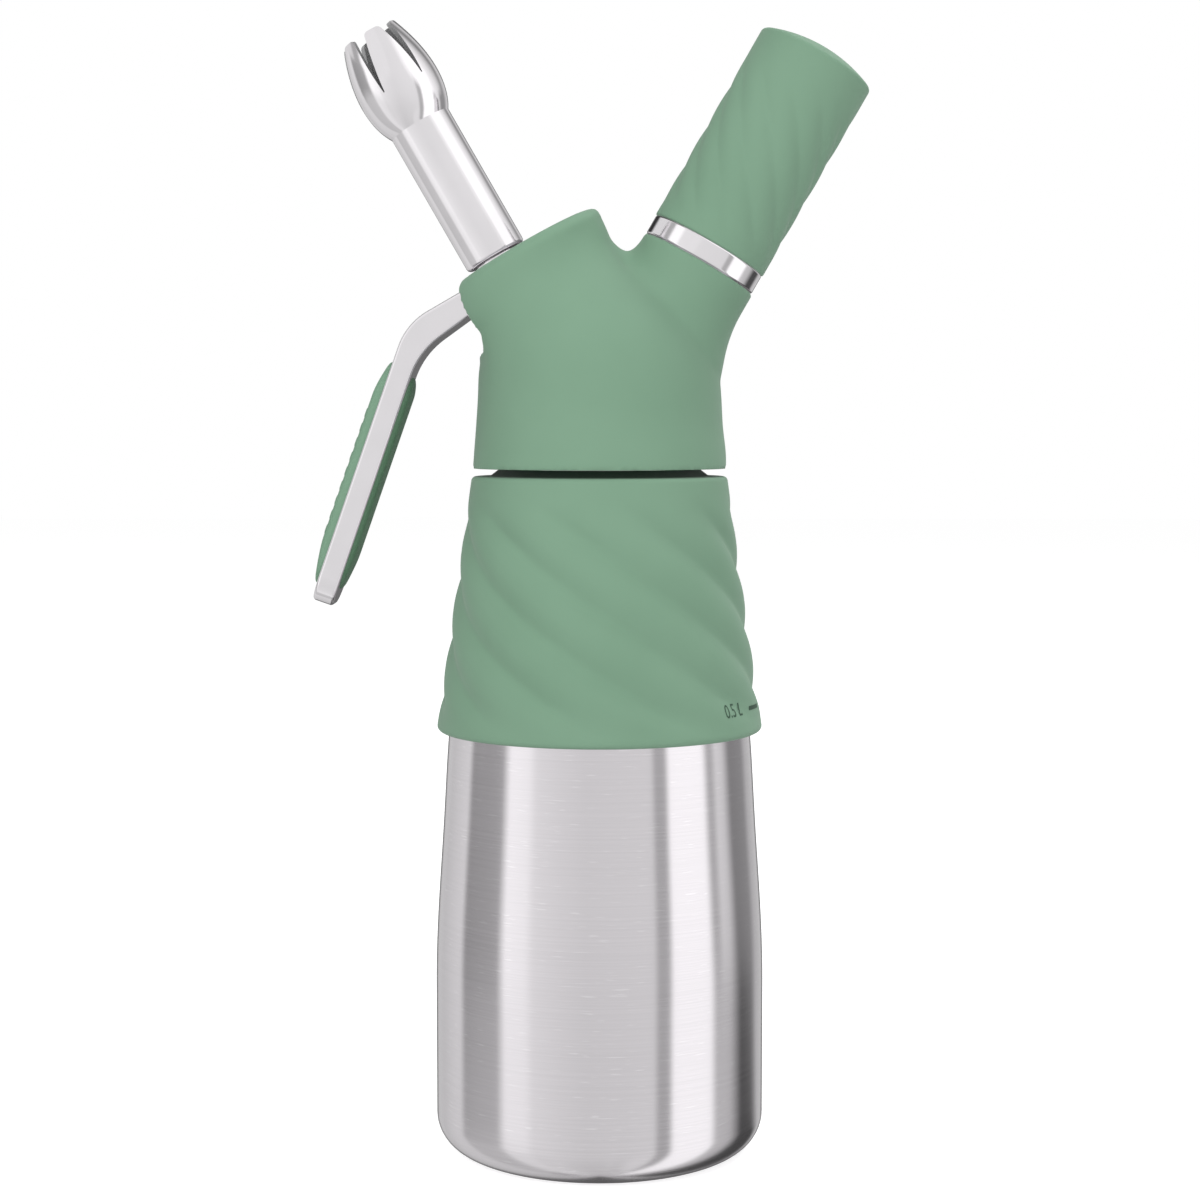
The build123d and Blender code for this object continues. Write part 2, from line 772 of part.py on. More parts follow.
# Nozzle adapter: a plug in the head, a flange on its face and the thread that holds the tip
flange_top = metal_face + adapter_flange_thickness
mouth_start = adapter_top - adapter_mouth_depth
upper_bore = stem_upper_radius + running_fit
with BuildPart() as nozzle_adapter:
    adapter_face = outline(
        nozzle_section,
        (upper_bore, cavity_top),
        (adapter_plug_radius, cavity_top),
        (adapter_plug_radius, metal_face),
        (adapter_flange_radius, metal_face),
        (adapter_flange_radius, flange_top),
        (adapter_root_radius, flange_top),
        (adapter_root_radius, adapter_top),
        (adapter_mouth_radius, adapter_top),
        (adapter_mouth_radius, mouth_start),
        (upper_bore, mouth_start),
        (upper_bore, upper_ring_level + groove_width / 2),
        (upper_groove, upper_ring_level + groove_width / 2),
        (upper_groove, upper_ring_level - groove_width / 2),
        (upper_bore, upper_ring_level - groove_width / 2),
    )
    revolve(adapter_face, axis=nozzle_axis)
    adapter_rib = helical_rib(
        adapter_root_radius, tip_thread_depth, tip_thread_width, tip_pitch, tip_thread_turns, tip_thread_start
    )
    add(nozzle_plane.location * adapter_rib)
nozzle_adapter.part.label = "nozzle_adapter"
export_step(nozzle_adapter.part, "parts/nozzle_adapter.step")

tip_seal_start = adapter_top + seal_play
tip_seal_end = tip_seal_start + tip_seal_thickness
with BuildPart() as tip_seal:
    with BuildSketch(nozzle_plane.offset(tip_seal_start)):
        Circle(adapter_root_radius + running_fit)
        Circle(adapter_mouth_radius + running_fit * 4, mode=Mode.SUBTRACT)
    extrude(amount=tip_seal_thickness)
tip_seal.part.label = "tip_seal"
export_step(tip_seal.part, "parts/tip_seal.step")

# Decorator tip: a tube with a bulb, and a mouth that is cut into petals
tip_root = adapter_root_radius + thread_clearance
tip_shelf = tip_seal_end + seal_play
with BuildPart() as decorator_tip:
    with BuildSketch(nozzle_section) as tip_face:
        with BuildLine():
            tube = Line((tip_radius, tip_foot), (tip_radius, bulb_start))
            bulb = Spline(
                tube @ 1,
                (bulb_flank_radius, bulb_flank_level),
                (bulb_radius, bulb_level),
                (bulb_top_radius, bulb_top_level),
                (mouth_radius, mouth_level),
            )
            lip = Line(bulb @ 1, (mouth_radius - tip_wall, mouth_level))
            inside = Spline(
                lip @ 1,
                (bulb_top_radius - tip_wall, bulb_top_level),
                (bulb_radius - tip_wall, bulb_level),
                (bulb_flank_radius - tip_wall, bulb_flank_level),
                (tip_bore_radius, bulb_start - tip_wall),
            )
            Polyline(
                inside @ 1,
                (tip_bore_radius, tip_shelf),
                (tip_root, tip_shelf),
                (tip_root, tip_foot),
                tube @ 0,
            )
        make_face()
        fillet(tip_face.vertices().sort_by_distance((tip_radius, tip_foot))[0], radius=tip_edge)
    revolve(axis=nozzle_axis)
    tip_groove = open_thread(
        nozzle_plane,
        adapter_root_radius,
        tip_thread_depth,
        tip_thread_width,
        tip_pitch,
        tip_thread_turns,
        tip_thread_start,
        tip_foot,
    )
    add(tip_groove, mode=Mode.SUBTRACT)
    for petal in range(petals):
        angle = radians(petal_turn + petal * 360 / petals)
        outward = Vector(0, -1, 0) * cos(angle) + nozzle_side * sin(angle)
        slot_plane = Plane(origin=hub, x_dir=nozzle_dir.cross(outward), z_dir=outward)
        slot = outline(
            slot_plane,
            (-petal_slot_root / 2, petal_slot_level),
            (petal_slot_root / 2, petal_slot_level),
            (petal_slot_width / 2, mouth_level),
            (petal_slot_width / 2, mouth_level + overcut),
            (-petal_slot_width / 2, mouth_level + overcut),
            (-petal_slot_width / 2, mouth_level),
        )
        extrude(slot, amount=bulb_radius + overcut, mode=Mode.SUBTRACT)
    fillet(decorator_tip.edges().group_by(nozzle_axis)[-1].filter_by(GeomType.LINE), radius=petal_corner)
decorator_tip.part.label = "decorator_tip"
export_step(decorator_tip.part, "parts/decorator_tip.step")

# Charger holder: a cup with a ring at its foot and the thread inside
holder_root = nipple_root_radius + thread_clearance
with BuildPart() as charger_holder:
    with BuildSketch(charger_section) as holder_face:
        with BuildLine():
            Polyline(
                (0, cup_end),
                (cup_radius, cup_end),
                (cup_radius, holder_foot + ring_height),
                (ring_radius, holder_foot + ring_height),
                (ring_radius, holder_foot),
                (holder_root, holder_foot),
                (holder_root, nipple_top + thread_clearance),
                (nipple_bore_radius, nipple_top + thread_clearance),
                (nipple_bore_radius, cup_end - cup_wall),
                (0, cup_end - cup_wall),
                close=True,
            )
        make_face()
        fillet(holder_face.vertices().sort_by_distance((cup_radius, cup_end))[0], radius=cup_edge)
        for level in (holder_foot, holder_foot + ring_height):
            fillet(holder_face.vertices().sort_by_distance((ring_radius, level))[0], radius=ring_edge)
    revolve(axis=charger_axis)
    holder_groove = open_thread(
        charger_plane,
        nipple_root_radius,
        holder_thread_depth,
        holder_thread_width,
        holder_pitch,
        holder_thread_turns,
        holder_thread_start,
        holder_foot,
    )
    add(holder_groove, mode=Mode.SUBTRACT)
charger_holder.part.label = "charger_holder"
export_step(charger_holder.part, "parts/charger_holder.step")

# Holder grip: a soft cap over the cup with a domed end
grip_foot = holder_foot + ring_height + grip_gap
dome_radius = (grip_radius**2 + grip_dome**2) / (2 * grip_dome)
with BuildPart() as holder_grip:
    with BuildSketch(charger_section) as grip_face:
        with BuildLine():
            wall = Line((grip_radius, grip_foot), (grip_radius, grip_rim))
            dome = RadiusArc(wall @ 1, (0, grip_rim + grip_dome), -dome_radius)
            Polyline(
                dome @ 1,
                (0, cup_end + skin_fit),
                (cup_radius + skin_fit, cup_end + skin_fit),
                (cup_radius + skin_fit, grip_foot),
                wall @ 0,
            )
        make_face()
        fillet(grip_face.vertices().sort_by_distance((grip_radius, grip_rim))[0], radius=grip_edge)
        fillet(grip_face.vertices().sort_by_distance((grip_radius, grip_foot))[0], radius=ring_edge)
    revolve(axis=charger_axis)
holder_grip.part.label = "holder_grip"
export_step(holder_grip.part, "parts/holder_grip.step")

# Charger: a hollow steel bulb, mouth down on the needle
charger_end = charger_mouth + charger_length
charger_body = neck_end + charger_shoulder


def charger_face(inset, mouth):
    """Right half of the charger's outline, drawn in by inset, with its mouth at this level."""
    with BuildSketch(charger_section) as shape:
        with BuildLine():
            neck = Line((charger_neck_radius - inset, mouth), (charger_neck_radius - inset, neck_end))
            shoulder = Spline(neck @ 1, (charger_radius - inset, charger_body), tangents=[(0, 1), (0, 1)])
            side = Line(shoulder @ 1, (charger_radius - inset, charger_end - charger_radius))
            tail = CenterArc((0, charger_end - charger_radius), charger_radius - inset, 0, 90)
            Polyline(tail @ 1, (0, mouth), neck @ 0)
        make_face()
    return shape.sketch


with BuildPart() as charger:
    revolve(charger_face(0, charger_mouth), axis=charger_axis)
    revolve(charger_face(charger_wall, charger_mouth + charger_wall), axis=charger_axis, mode=Mode.SUBTRACT)
    with BuildSketch(charger_plane.offset(charger_mouth)):
        Circle(charger_hole_radius)
    extrude(amount=charger_wall + overcut, mode=Mode.SUBTRACT)
charger.part.label = "charger"
export_step(charger.part, "parts/charger.step")

# Piercing pin, its seal and the filter under it
pin_body_top = pin_seat + pin_body_length
needle_top = pin_body_top + needle_length
with BuildPart() as piercing_pin:
    pin_face = outline(
        charger_section,
        (gas_hole_radius, pin_seat),
        (pin_body_radius, pin_seat),
        (pin_body_radius, pin_body_top),
        (needle_radius, pin_body_top),
        (needle_radius, needle_top - needle_point),
        (gas_hole_radius, needle_top),
    )
    revolve(pin_face, axis=charger_axis)
piercing_pin.part.label = "piercing_pin"
export_step(piercing_pin.part, "parts/piercing_pin.step")

with BuildPart() as charger_seal:
    with BuildSketch(charger_plane.offset(charger_seal_seat + seal_play)):
        Circle(neck_bore_radius - 4 * running_fit)
        Circle(needle_radius + 2 * running_fit, mode=Mode.SUBTRACT)
    extrude(amount=charger_seal_thickness)
charger_seal.part.label = "charger_seal"
export_step(charger_seal.part, "parts/charger_seal.step")

with BuildPart() as gas_filter:
    with BuildSketch(charger_plane.offset(filter_seat + seal_play)):
        Circle(pin_body_radius)
    extrude(amount=filter_thickness)
gas_filter.part.label = "gas_filter"
export_step(gas_filter.part, "parts/gas_filter.step")

# Check valve: a rubber disc with two lips that close on a slit
check_top = check_pocket_top - seal_play
check_foot = check_top - check_disc_thickness
lip_end = check_foot - check_lip_length
with BuildPart() as check_valve:
    with BuildSketch(charger_plane.offset(lip_end)):
        Circle(check_lip_radius)
    extrude(amount=check_lip_length)
    lips = outline(
        charger_section,
        (-check_slit * 1.5, lip_end),
        (check_slit * 1.5, lip_end),
        (check_lip_radius, check_foot),
        (-check_lip_radius, check_foot),
    )
    extrude(lips, amount=check_lip_radius, both=True, mode=Mode.INTERSECT)
    with BuildSketch(charger_plane.offset(check_foot)):
        Circle(check_pocket_radius - 2 * running_fit)
    extrude(amount=check_disc_thickness)
    way = outline(
        charger_section,
        (-check_slit / 2, lip_end),
        (check_slit / 2, lip_end),
        (gas_bore_radius - check_slit, check_top),
        (check_slit - gas_bore_radius, check_top),
    )
    extrude(way, amount=gas_bore_radius - check_slit, both=True, mode=Mode.SUBTRACT)
check_valve.part.label = "check_valve"
export_step(check_valve.part, "parts/check_valve.step")
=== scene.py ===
import math

import bmesh
import bpy
from mathutils import Matrix, Vector
from mathutils.bvhtree import BVHTree


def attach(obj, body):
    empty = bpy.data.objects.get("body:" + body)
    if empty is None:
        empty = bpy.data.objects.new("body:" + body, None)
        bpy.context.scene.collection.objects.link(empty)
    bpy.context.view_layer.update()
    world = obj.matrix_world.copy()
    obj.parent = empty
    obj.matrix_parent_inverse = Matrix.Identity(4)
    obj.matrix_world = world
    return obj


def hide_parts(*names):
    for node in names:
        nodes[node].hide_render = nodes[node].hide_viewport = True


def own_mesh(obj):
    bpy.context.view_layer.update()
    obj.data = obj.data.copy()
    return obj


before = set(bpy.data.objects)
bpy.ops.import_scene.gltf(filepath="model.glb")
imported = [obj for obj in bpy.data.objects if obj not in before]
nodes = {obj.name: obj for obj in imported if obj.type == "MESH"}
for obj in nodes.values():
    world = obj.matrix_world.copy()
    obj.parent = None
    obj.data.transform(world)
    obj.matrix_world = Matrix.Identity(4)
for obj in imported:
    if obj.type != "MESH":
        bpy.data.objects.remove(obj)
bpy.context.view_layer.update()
scene = bpy.context.scene
mm = 0.001
weld = 0.00001  # metres within which the points of a new mesh are merged
solidWeld = 0.0000001  # the same for the corners of a solid's triangles
print("frame loaded with", len(nodes), "nodes")


# Frames of the two slanted axes: local Z runs along the axis and local X points to the right
axes = {"hubHeight": 0.1765, "lean": 30}
hub = Matrix.Translation((0, 0, axes["hubHeight"]))
nozzleFrame = hub @ Matrix.Rotation(math.radians(-axes["lean"]), 4, "Y")
chargerFrame = hub @ Matrix.Rotation(math.radians(axes["lean"]), 4, "Y")
intoNozzle = nozzleFrame.inverted()
intoCharger = chargerFrame.inverted()
nozzleAxis = nozzleFrame.to_3x3() @ Vector((0, 0, 1))


# The camera stands in front of the dispenser and looks slightly down
view = {
    "distance": 0.592, "height": 0.1793, "lookDown": 4.165, "lens": 72.27, "sensor": 36, "shift": 0.0004,
    "nearest": 0.01,
}
lensData = bpy.data.cameras.new("camera")
lensData.lens = view["lens"]
lensData.sensor_width = view["sensor"]
lensData.shift_x = view["shift"]
lensData.clip_start = view["nearest"]
camera = bpy.data.objects.new("camera", lensData)
camera.location = (0, -view["distance"], view["height"])
camera.rotation_euler = (math.radians(90 - view["lookDown"]), 0, 0)
scene.collection.objects.link(camera)
scene.camera = camera
scene.view_settings.view_transform = "Standard"


# Node helpers
def putInto(tree, socket, value):
    if isinstance(value, bpy.types.NodeSocket):
        tree.links.new(value, socket)
    else:
        socket.default_value = value


def addNode(tree, kind, settings=None, **inputs):
    # an underscore in an input's name stands for a space
    node = tree.nodes.new(kind)
    for key, value in (settings or {}).items():
        setattr(node, key, value)
    for key, value in inputs.items():
        putInto(tree, node.inputs[key.replace("_", " ")], value)
    return node


def mathNode(tree, operation, *values):
    node = addNode(tree, "ShaderNodeMath", {"operation": operation})
    for socket, value in zip(node.inputs, values):
        putInto(tree, socket, value)
    return node.outputs[0]


def vectorNode(tree, operation, *values):
    node = addNode(tree, "ShaderNodeVectorMath", {"operation": operation})
    for socket, value in zip(node.inputs, values):
        putInto(tree, socket, value)
    return node


def rampNode(tree, factor, stops):
    node = tree.nodes.new("ShaderNodeValToRGB")
    elements = node.color_ramp.elements
    while len(elements) < len(stops):
        elements.new(0.5)
    for element, (place, colour) in zip(elements, stops):
        element.position = place
        element.color = colour if len(colour) == 4 else (*colour, 1)
    tree.links.new(factor, node.inputs[0])
    return node.outputs[0]


def mixColours(tree, share, first, second, blend="MIX"):
    settings = {"data_type": "RGBA", "blend_type": blend}
    return addNode(tree, "ShaderNodeMix", settings, Factor=share, A=first, B=second).outputs["Result"]


def grey(value):
    return (value, value, value, 1)


# Brightness by direction, in degrees round the object: 0 is the camera's side and the right is positive.
# Each panel has a start, an end and its brightness there. The leaning panels are large, high on one side or
# low on the other, and only slanted metal mirrors them.
studio = {
    "panels": {
        "backLeftFlag": (-180, -165, 0.14, 0.18),
        "backLeftWall": (-159, -146, 0.62, 0.64),
        "leftWall": (-143, -114, 0.62, 0.80),
        "leftFlag": (-108, -76, 0.32, 0.42),
        "leftSoftbox": (-69, -53, 1.17, 1.08),
        "frontLeft": (-47, -28, 0.90, 0.81),
        "front": (-10, 38, 0.755, 0.78),
        "rightEdge": (42, 49, 0.46, 0.46),
        "rightSoftbox": (53, 82, 1.22, 1.22),
        "rightStreak": (88, 91, 0.48, 0.48),
        "rightWall": (97, 104, 0.82, 0.74),
        "rightFlag": (113, 133, 0.27, 0.30),
        "backRightWall": (142, 159, 0.52, 0.62),
        "backRightFlag": (165, 180, 0.18, 0.14),
    },
    "overhead": 1.05,
    "below": 0.82,
    "ambient": 0.46,
    "middle": (-6.12, 11.88),  # between these the leaning panels go from their left share to their right
    "leaning": {
        "highRight": {
            "side": 1, "from": 0.2, "gain": 9.0, "leftShare": 0.6, "rightShare": 1.0,
            "stops": [
                (-137, 0.70), (-90, 0.72), (-45, 0.72), (0, 0.80), (23, 1.05), (45, 1.12), (86, 1.12),
                (97, 0.90), (106, 0.82), (120, 0.60), (137, 0.22),
            ],
        },
        "highLeft": {
            "side": -1, "from": 0.04, "gain": 30.0, "leftShare": 1.0, "rightShare": 0.0,
            "stops": [
                (-146, 0.03), (-137, 0.72), (-100, 0.72), (-92, 0.42), (-80, 0.42), (-73, 1.10), (-54, 1.10),
                (-48, 0.82),
            ],
        },
        "lowRight": {
            "side": -1, "from": 0.14, "gain": 14.0, "leftShare": 0.0, "rightShare": 1.0,
            "stops": [
                (38, 0.77), (42, 0.44), (49, 0.44), (53, 1.15), (84, 1.15), (90, 0.60), (104, 0.52),
                (118, 0.07),
            ],
        },
    },
}


def roundStop(degrees, brightness):
    return (degrees / 360 + 0.5, grey(brightness))


def leaningPanel(tree, values, behind, turn, slanted):
    # lays one leaning panel over what is behind it, where the direction slants enough
    left, right = studio["middle"]
    gain = values["gain"] * values["side"]
    onto = mathNode(tree, "MULTIPLY_ADD", slanted, gain, -values["from"] * values["gain"])
    full = addNode(tree, "ShaderNodeClamp", Value=onto).outputs[0]
    shares = [roundStop(left, values["leftShare"]), roundStop(right, values["rightShare"])]
    strength = mathNode(tree, "MULTIPLY", full, rampNode(tree, turn, shares))
    brightness = rampNode(tree, turn, [roundStop(*stop) for stop in values["stops"]])
    return mixColours(tree, strength, behind, brightness)


def studioWorld():
    # the camera sees white, metal mirrors the panels, and everything else gets an even light
    world = bpy.data.worlds.new("studio")
    world.use_nodes = True
    tree = world.node_tree
    coords = addNode(tree, "ShaderNodeTexCoord")
    direction = addNode(tree, "ShaderNodeSeparateXYZ", Vector=coords.outputs["Generated"])
    towards = mathNode(tree, "MULTIPLY", direction.outputs["Y"], -1)
    around = mathNode(tree, "ARCTAN2", direction.outputs["X"], towards)
    turn = mathNode(tree, "MULTIPLY_ADD", around, 0.5 / math.pi, 0.5)
    stops = []
    for start, end, first, last in studio["panels"].values():
        stops += [roundStop(start, first), roundStop(end, last)]
    height = mathNode(tree, "MULTIPLY_ADD", direction.outputs["Z"], 0.5, 0.5)
    levels = [(0.0, grey(studio["below"])), (0.5, grey(1.0)), (1.0, grey(studio["overhead"]))]
    panels, shade = rampNode(tree, turn, stops), rampNode(tree, height, levels)
    shown = mixColours(tree, 1.0, panels, shade, "MULTIPLY")
    slanted = mathNode(tree, "MULTIPLY", direction.outputs["X"], direction.outputs["Z"])
    for values in studio["leaning"].values():
        shown = leaningPanel(tree, values, shown, turn, slanted)
    ambient = addNode(tree, "ShaderNodeBackground", Color=grey(1.0), Strength=studio["ambient"])
    mirrored = addNode(tree, "ShaderNodeBackground", Color=shown, Strength=1.0)
    backdrop = addNode(tree, "ShaderNodeBackground", Color=grey(1.0), Strength=1.0)
    rays = addNode(tree, "ShaderNodeLightPath")
    straight = mathNode(tree, "MAXIMUM", rays.outputs["Is Camera Ray"], rays.outputs["Is Transmission Ray"])
    unseen = addNode(tree, "ShaderNodeMixShader", Fac=rays.outputs["Is Glossy Ray"])
    tree.links.new(ambient.outputs[0], unseen.inputs[1])
    tree.links.new(mirrored.outputs[0], unseen.inputs[2])
    whole = addNode(tree, "ShaderNodeMixShader", Fac=straight)
    tree.links.new(unseen.outputs[0], whole.inputs[1])
    tree.links.new(backdrop.outputs[0], whole.inputs[2])
    tree.links.new(whole.outputs[0], tree.nodes["World Output"].inputs["Surface"])
    return world


scene.world = studioWorld()

lamps = {
    "keyLamp": {"place": (-0.75, -1.0, 1.05), "aim": (0, 0, 0.16), "size": (0.7, 0.7), "power": 6.8},
    "fillLamp": {"place": (0.6, -1.0, 1.1), "aim": (0, 0, 0.14), "size": (0.8, 0.9), "power": 3.0},
    "topLamp": {"place": (0.6, 0.35, 1.2), "aim": (0.04, 0, 0.2), "size": (0.8, 0.7), "power": 7.0},
    "headLamp": {
        "place": (-0.01, -0.27, 0.222), "aim": (-0.005, 0, 0.2), "size": (0.08, 0.08), "power": 0.12,
    },
}
for name, values in lamps.items():
    lampData = bpy.data.lights.new(name, "AREA")
    lampData.shape = "RECTANGLE"
    lampData.size, lampData.size_y = values["size"]
    lampData.energy = values["power"]
    lamp = bpy.data.objects.new(name, lampData)
    lamp.location = values["place"]
    lamp.rotation_euler = (Vector(values["aim"]) - lamp.location).to_track_quat("-Z", "Y").to_euler()
    lamp.visible_glossy = False
    scene.collection.objects.link(lamp)
print("camera, world and lamps set")


# Material helpers
def newMaterial(name):
    material = bpy.data.materials.new(name)
    material.use_nodes = True
    tree = material.node_tree
    return material, tree, tree.nodes["Principled BSDF"]


def setRoughness(tree, shader, pattern, middle, spread):
    # follows a pattern, evenly on both sides of a middle value
    roughness = mathNode(tree, "MULTIPLY_ADD", pattern, spread, middle - spread / 2)
    tree.links.new(roughness, shader.inputs["Roughness"])


def setBump(tree, shader, pattern, strength, distance=0.0001):
    bump = addNode(tree, "ShaderNodeBump", Height=pattern, Strength=strength, Distance=distance)
    tree.links.new(bump.outputs["Normal"], shader.inputs["Normal"])


def mixUnderColour(tree, shader, share, other):
    # the shader's own colour gives way to another one by a share
    own = shader.inputs["Base Color"].links[0].from_socket
    tree.links.new(mixColours(tree, share, own, (*other, 1)), shader.inputs["Base Color"])


floorLook = {"size": 8.0, "colour": 0.80, "roughness": 0.9, "glow": 0.62}


def floorMaterial(values):
    # glows only for the camera, so it throws no light on the object
    material, tree, shader = newMaterial("paleFloor")
    shader.inputs["Base Color"].default_value = grey(values["colour"])
    shader.inputs["Roughness"].default_value = values["roughness"]
    shader.inputs["Specular IOR Level"].default_value = 0.0
    shader.inputs["Emission Color"].default_value = grey(1.0)
    rays = addNode(tree, "ShaderNodeLightPath")
    straight = mathNode(tree, "MAXIMUM", rays.outputs["Is Camera Ray"], rays.outputs["Is Transmission Ray"])
    tree.links.new(mathNode(tree, "MULTIPLY", straight, values["glow"]), shader.inputs["Emission Strength"])
    return material


def layFloor():
    bm = bmesh.new()
    bmesh.ops.create_grid(bm, x_segments=1, y_segments=1, size=floorLook["size"] / 2)
    mesh = bpy.data.meshes.new("floor")
    bm.to_mesh(mesh)
    bm.free()
    mesh.materials.append(floorMaterial(floorLook))
    floor = bpy.data.objects.new("floor", mesh)
    floor.visible_glossy = False
    scene.collection.objects.link(floor)


layFloor()

greenLook = {
    "colour": (0.215, 0.362, 0.252),
    "deeper": (0.194, 0.334, 0.229),
    "roughness": 0.64,
    "patchScale": 22.0,
    "grainScale": 2600.0,
    "grainStrength": 0.06,
    "specular": 0.29,
    "sheen": 0.12,
}


def siliconeMaterial(name, values):
    # soft green with faint, wide patches and a very fine grain
    material, tree, shader = newMaterial(name)
    place = addNode(tree, "ShaderNodeTexCoord").outputs["Object"]
    patches = addNode(tree, "ShaderNodeTexNoise", Vector=place, Scale=values["patchScale"], Detail=3.0)
    colour = rampNode(tree, patches.outputs["Fac"], [(0.35, values["deeper"]), (0.65, values["colour"])])
    tree.links.new(colour, shader.inputs["Base Color"])
    grain = addNode(tree, "ShaderNodeTexNoise", Vector=place, Scale=values["grainScale"], Detail=2.0)
    setBump(tree, shader, grain.outputs["Fac"], values["grainStrength"], 0.0002)
    setRoughness(tree, shader, patches.outputs["Fac"], values["roughness"], 0.08)
    shader.inputs["Specular IOR Level"].default_value = values["specular"]
    shader.inputs["Sheen Weight"].default_value = values["sheen"]
    shader.inputs["Sheen Roughness"].default_value = 0.4
    return material


def paintedShadeMaterial(name, values, darker, along, start):
    # what lies further than start along a direction gets a painted shade, a darker green
    material = siliconeMaterial(name, values)
    tree = material.node_tree
    place = addNode(tree, "ShaderNodeTexCoord").outputs["Object"]
    reach = vectorNode(tree, "DOT_PRODUCT", place, along).outputs["Value"]
    end = start + darker["blend"]
    beyond = addNode(tree, "ShaderNodeMapRange", Value=reach, From_Min=start, From_Max=end)
    mixUnderColour(tree, tree.nodes["Principled BSDF"], beyond.outputs[0], darker["colour"])
    return material


brushedLook = {
    "colour": (0.80, 0.77, 0.797),
    "darker": (0.764, 0.735, 0.761),
    "scratch": (0.90, 0.88, 0.90),
    "roughness": 0.17,
    "anisotropy": 0.85,
    "lineScale": (9.0, 9.0, 3400.0),
    "scratchScale": (260.0, 260.0, 3200.0),
    "lineStrength": 0.02,
}


def brushedMaterial(name, values):
    # brush lines run round the upright axis
    material, tree, shader = newMaterial(name)
    place = addNode(tree, "ShaderNodeTexCoord").outputs["Object"]
    long = addNode(tree, "ShaderNodeMapping", Vector=place, Scale=values["lineScale"])
    lines = addNode(tree, "ShaderNodeTexNoise", Vector=long.outputs[0], Scale=1.0, Detail=4.0, Roughness=0.6)
    colour = rampNode(tree, lines.outputs["Fac"], [(0.3, values["darker"]), (0.62, values["colour"])])
    tree.links.new(colour, shader.inputs["Base Color"])
    short = addNode(tree, "ShaderNodeMapping", Vector=place, Scale=values["scratchScale"])
    scratches = addNode(tree, "ShaderNodeTexNoise", Vector=short.outputs[0], Scale=1.0, Detail=0.0)
    share = rampNode(tree, scratches.outputs["Fac"], [(0.72, (0, 0, 0)), (0.82, (0.6, 0.6, 0.6))])
    mixUnderColour(tree, shader, share, values["scratch"])
    setRoughness(tree, shader, lines.outputs["Fac"], values["roughness"], 0.1)
    setBump(tree, shader, lines.outputs["Fac"], values["lineStrength"])
    tangent = addNode(tree, "ShaderNodeTangent", {"direction_type": "RADIAL", "axis": "Z"})
    tree.links.new(tangent.outputs[0], shader.inputs["Tangent"])
    shader.inputs["Metallic"].default_value = 1.0
    shader.inputs["Anisotropic"].default_value = values["anisotropy"]
    shader.inputs["Anisotropic Rotation"].default_value = 0.25
    return material


polishedLook = {"colour": (0.94, 0.915, 0.938), "roughness": 0.12, "smudgeScale": 90.0, "grainScale": 3200.0}
satinLook = {"colour": (0.62, 0.62, 0.63), "roughness": 0.30, "smudgeScale": 140.0, "grainScale": 2400.0}
castLook = {"colour": (0.56, 0.57, 0.58), "roughness": 0.42, "smudgeScale": 160.0, "grainScale": 1500.0}
porousLook = {"colour": (0.34, 0.33, 0.32), "roughness": 0.62, "smudgeScale": 500.0, "grainScale": 5200.0}


def metalMaterial(name, values):
    # bright metal with faint smudges and a very fine grain
    material, tree, shader = newMaterial(name)
    place = addNode(tree, "ShaderNodeTexCoord").outputs["Object"]
    smudges = addNode(tree, "ShaderNodeTexNoise", Vector=place, Scale=values["smudgeScale"], Detail=4.0)
    dull = tuple(channel * 0.97 for channel in values["colour"])
    colour = rampNode(tree, smudges.outputs["Fac"], [(0.35, dull), (0.6, values["colour"])])
    tree.links.new(colour, shader.inputs["Base Color"])
    setRoughness(tree, shader, smudges.outputs["Fac"], values["roughness"], 0.06)
    grain = addNode(tree, "ShaderNodeTexNoise", Vector=place, Scale=values["grainScale"], Detail=1.0)
    setBump(tree, shader, grain.outputs["Fac"], 0.02)
    shader.inputs["Metallic"].default_value = 1.0
    return material


# How far a face of the tip looks away from its axis decides whether it is outside
# the inside's darker grey is a painted shade; its higher roughness is a duller finish
insidePaintedShadeLook = {"colour": (0.60, 0.60, 0.605), "roughness": 0.55, "facing": (0.15, 0.35)}


def tipMaterial(name, values, inside):
    # polished outside; the walls of the slots and the bore are rougher, and their darker grey is a painted
    # shade
    material = metalMaterial(name, values)
    tree = material.node_tree
    shader = tree.nodes["Principled BSDF"]
    coords = addNode(tree, "ShaderNodeTexCoord")
    place = vectorNode(tree, "SUBTRACT", coords.outputs["Object"], nozzleFrame.translation).outputs[0]
    level = vectorNode(tree, "DOT_PRODUCT", place, nozzleAxis).outputs["Value"]
    onAxis = vectorNode(tree, "SCALE", nozzleAxis)
    tree.links.new(level, onAxis.inputs["Scale"])
    outward = vectorNode(tree, "SUBTRACT", place, onAxis.outputs[0]).outputs[0]
    unit = vectorNode(tree, "NORMALIZE", outward).outputs[0]
    facing = vectorNode(tree, "DOT_PRODUCT", unit, coords.outputs["Normal"]).outputs["Value"]
    low, high = inside["facing"]
    within = rampNode(tree, facing, [(low, (1, 1, 1)), (high, (0, 0, 0))])
    mixUnderColour(tree, shader, within, inside["colour"])
    rise = inside["roughness"] - values["roughness"]
    roughness = mathNode(tree, "MULTIPLY_ADD", within, rise, values["roughness"])
    tree.links.new(roughness, shader.inputs["Roughness"])
    return material


blackRubberLook = {"colour": (0.020, 0.020, 0.021), "paler": (0.034, 0.034, 0.035), "roughness": 0.55}
clearRubberLook = {"colour": (0.62, 0.61, 0.57), "paler": (0.70, 0.69, 0.66), "roughness": 0.45}


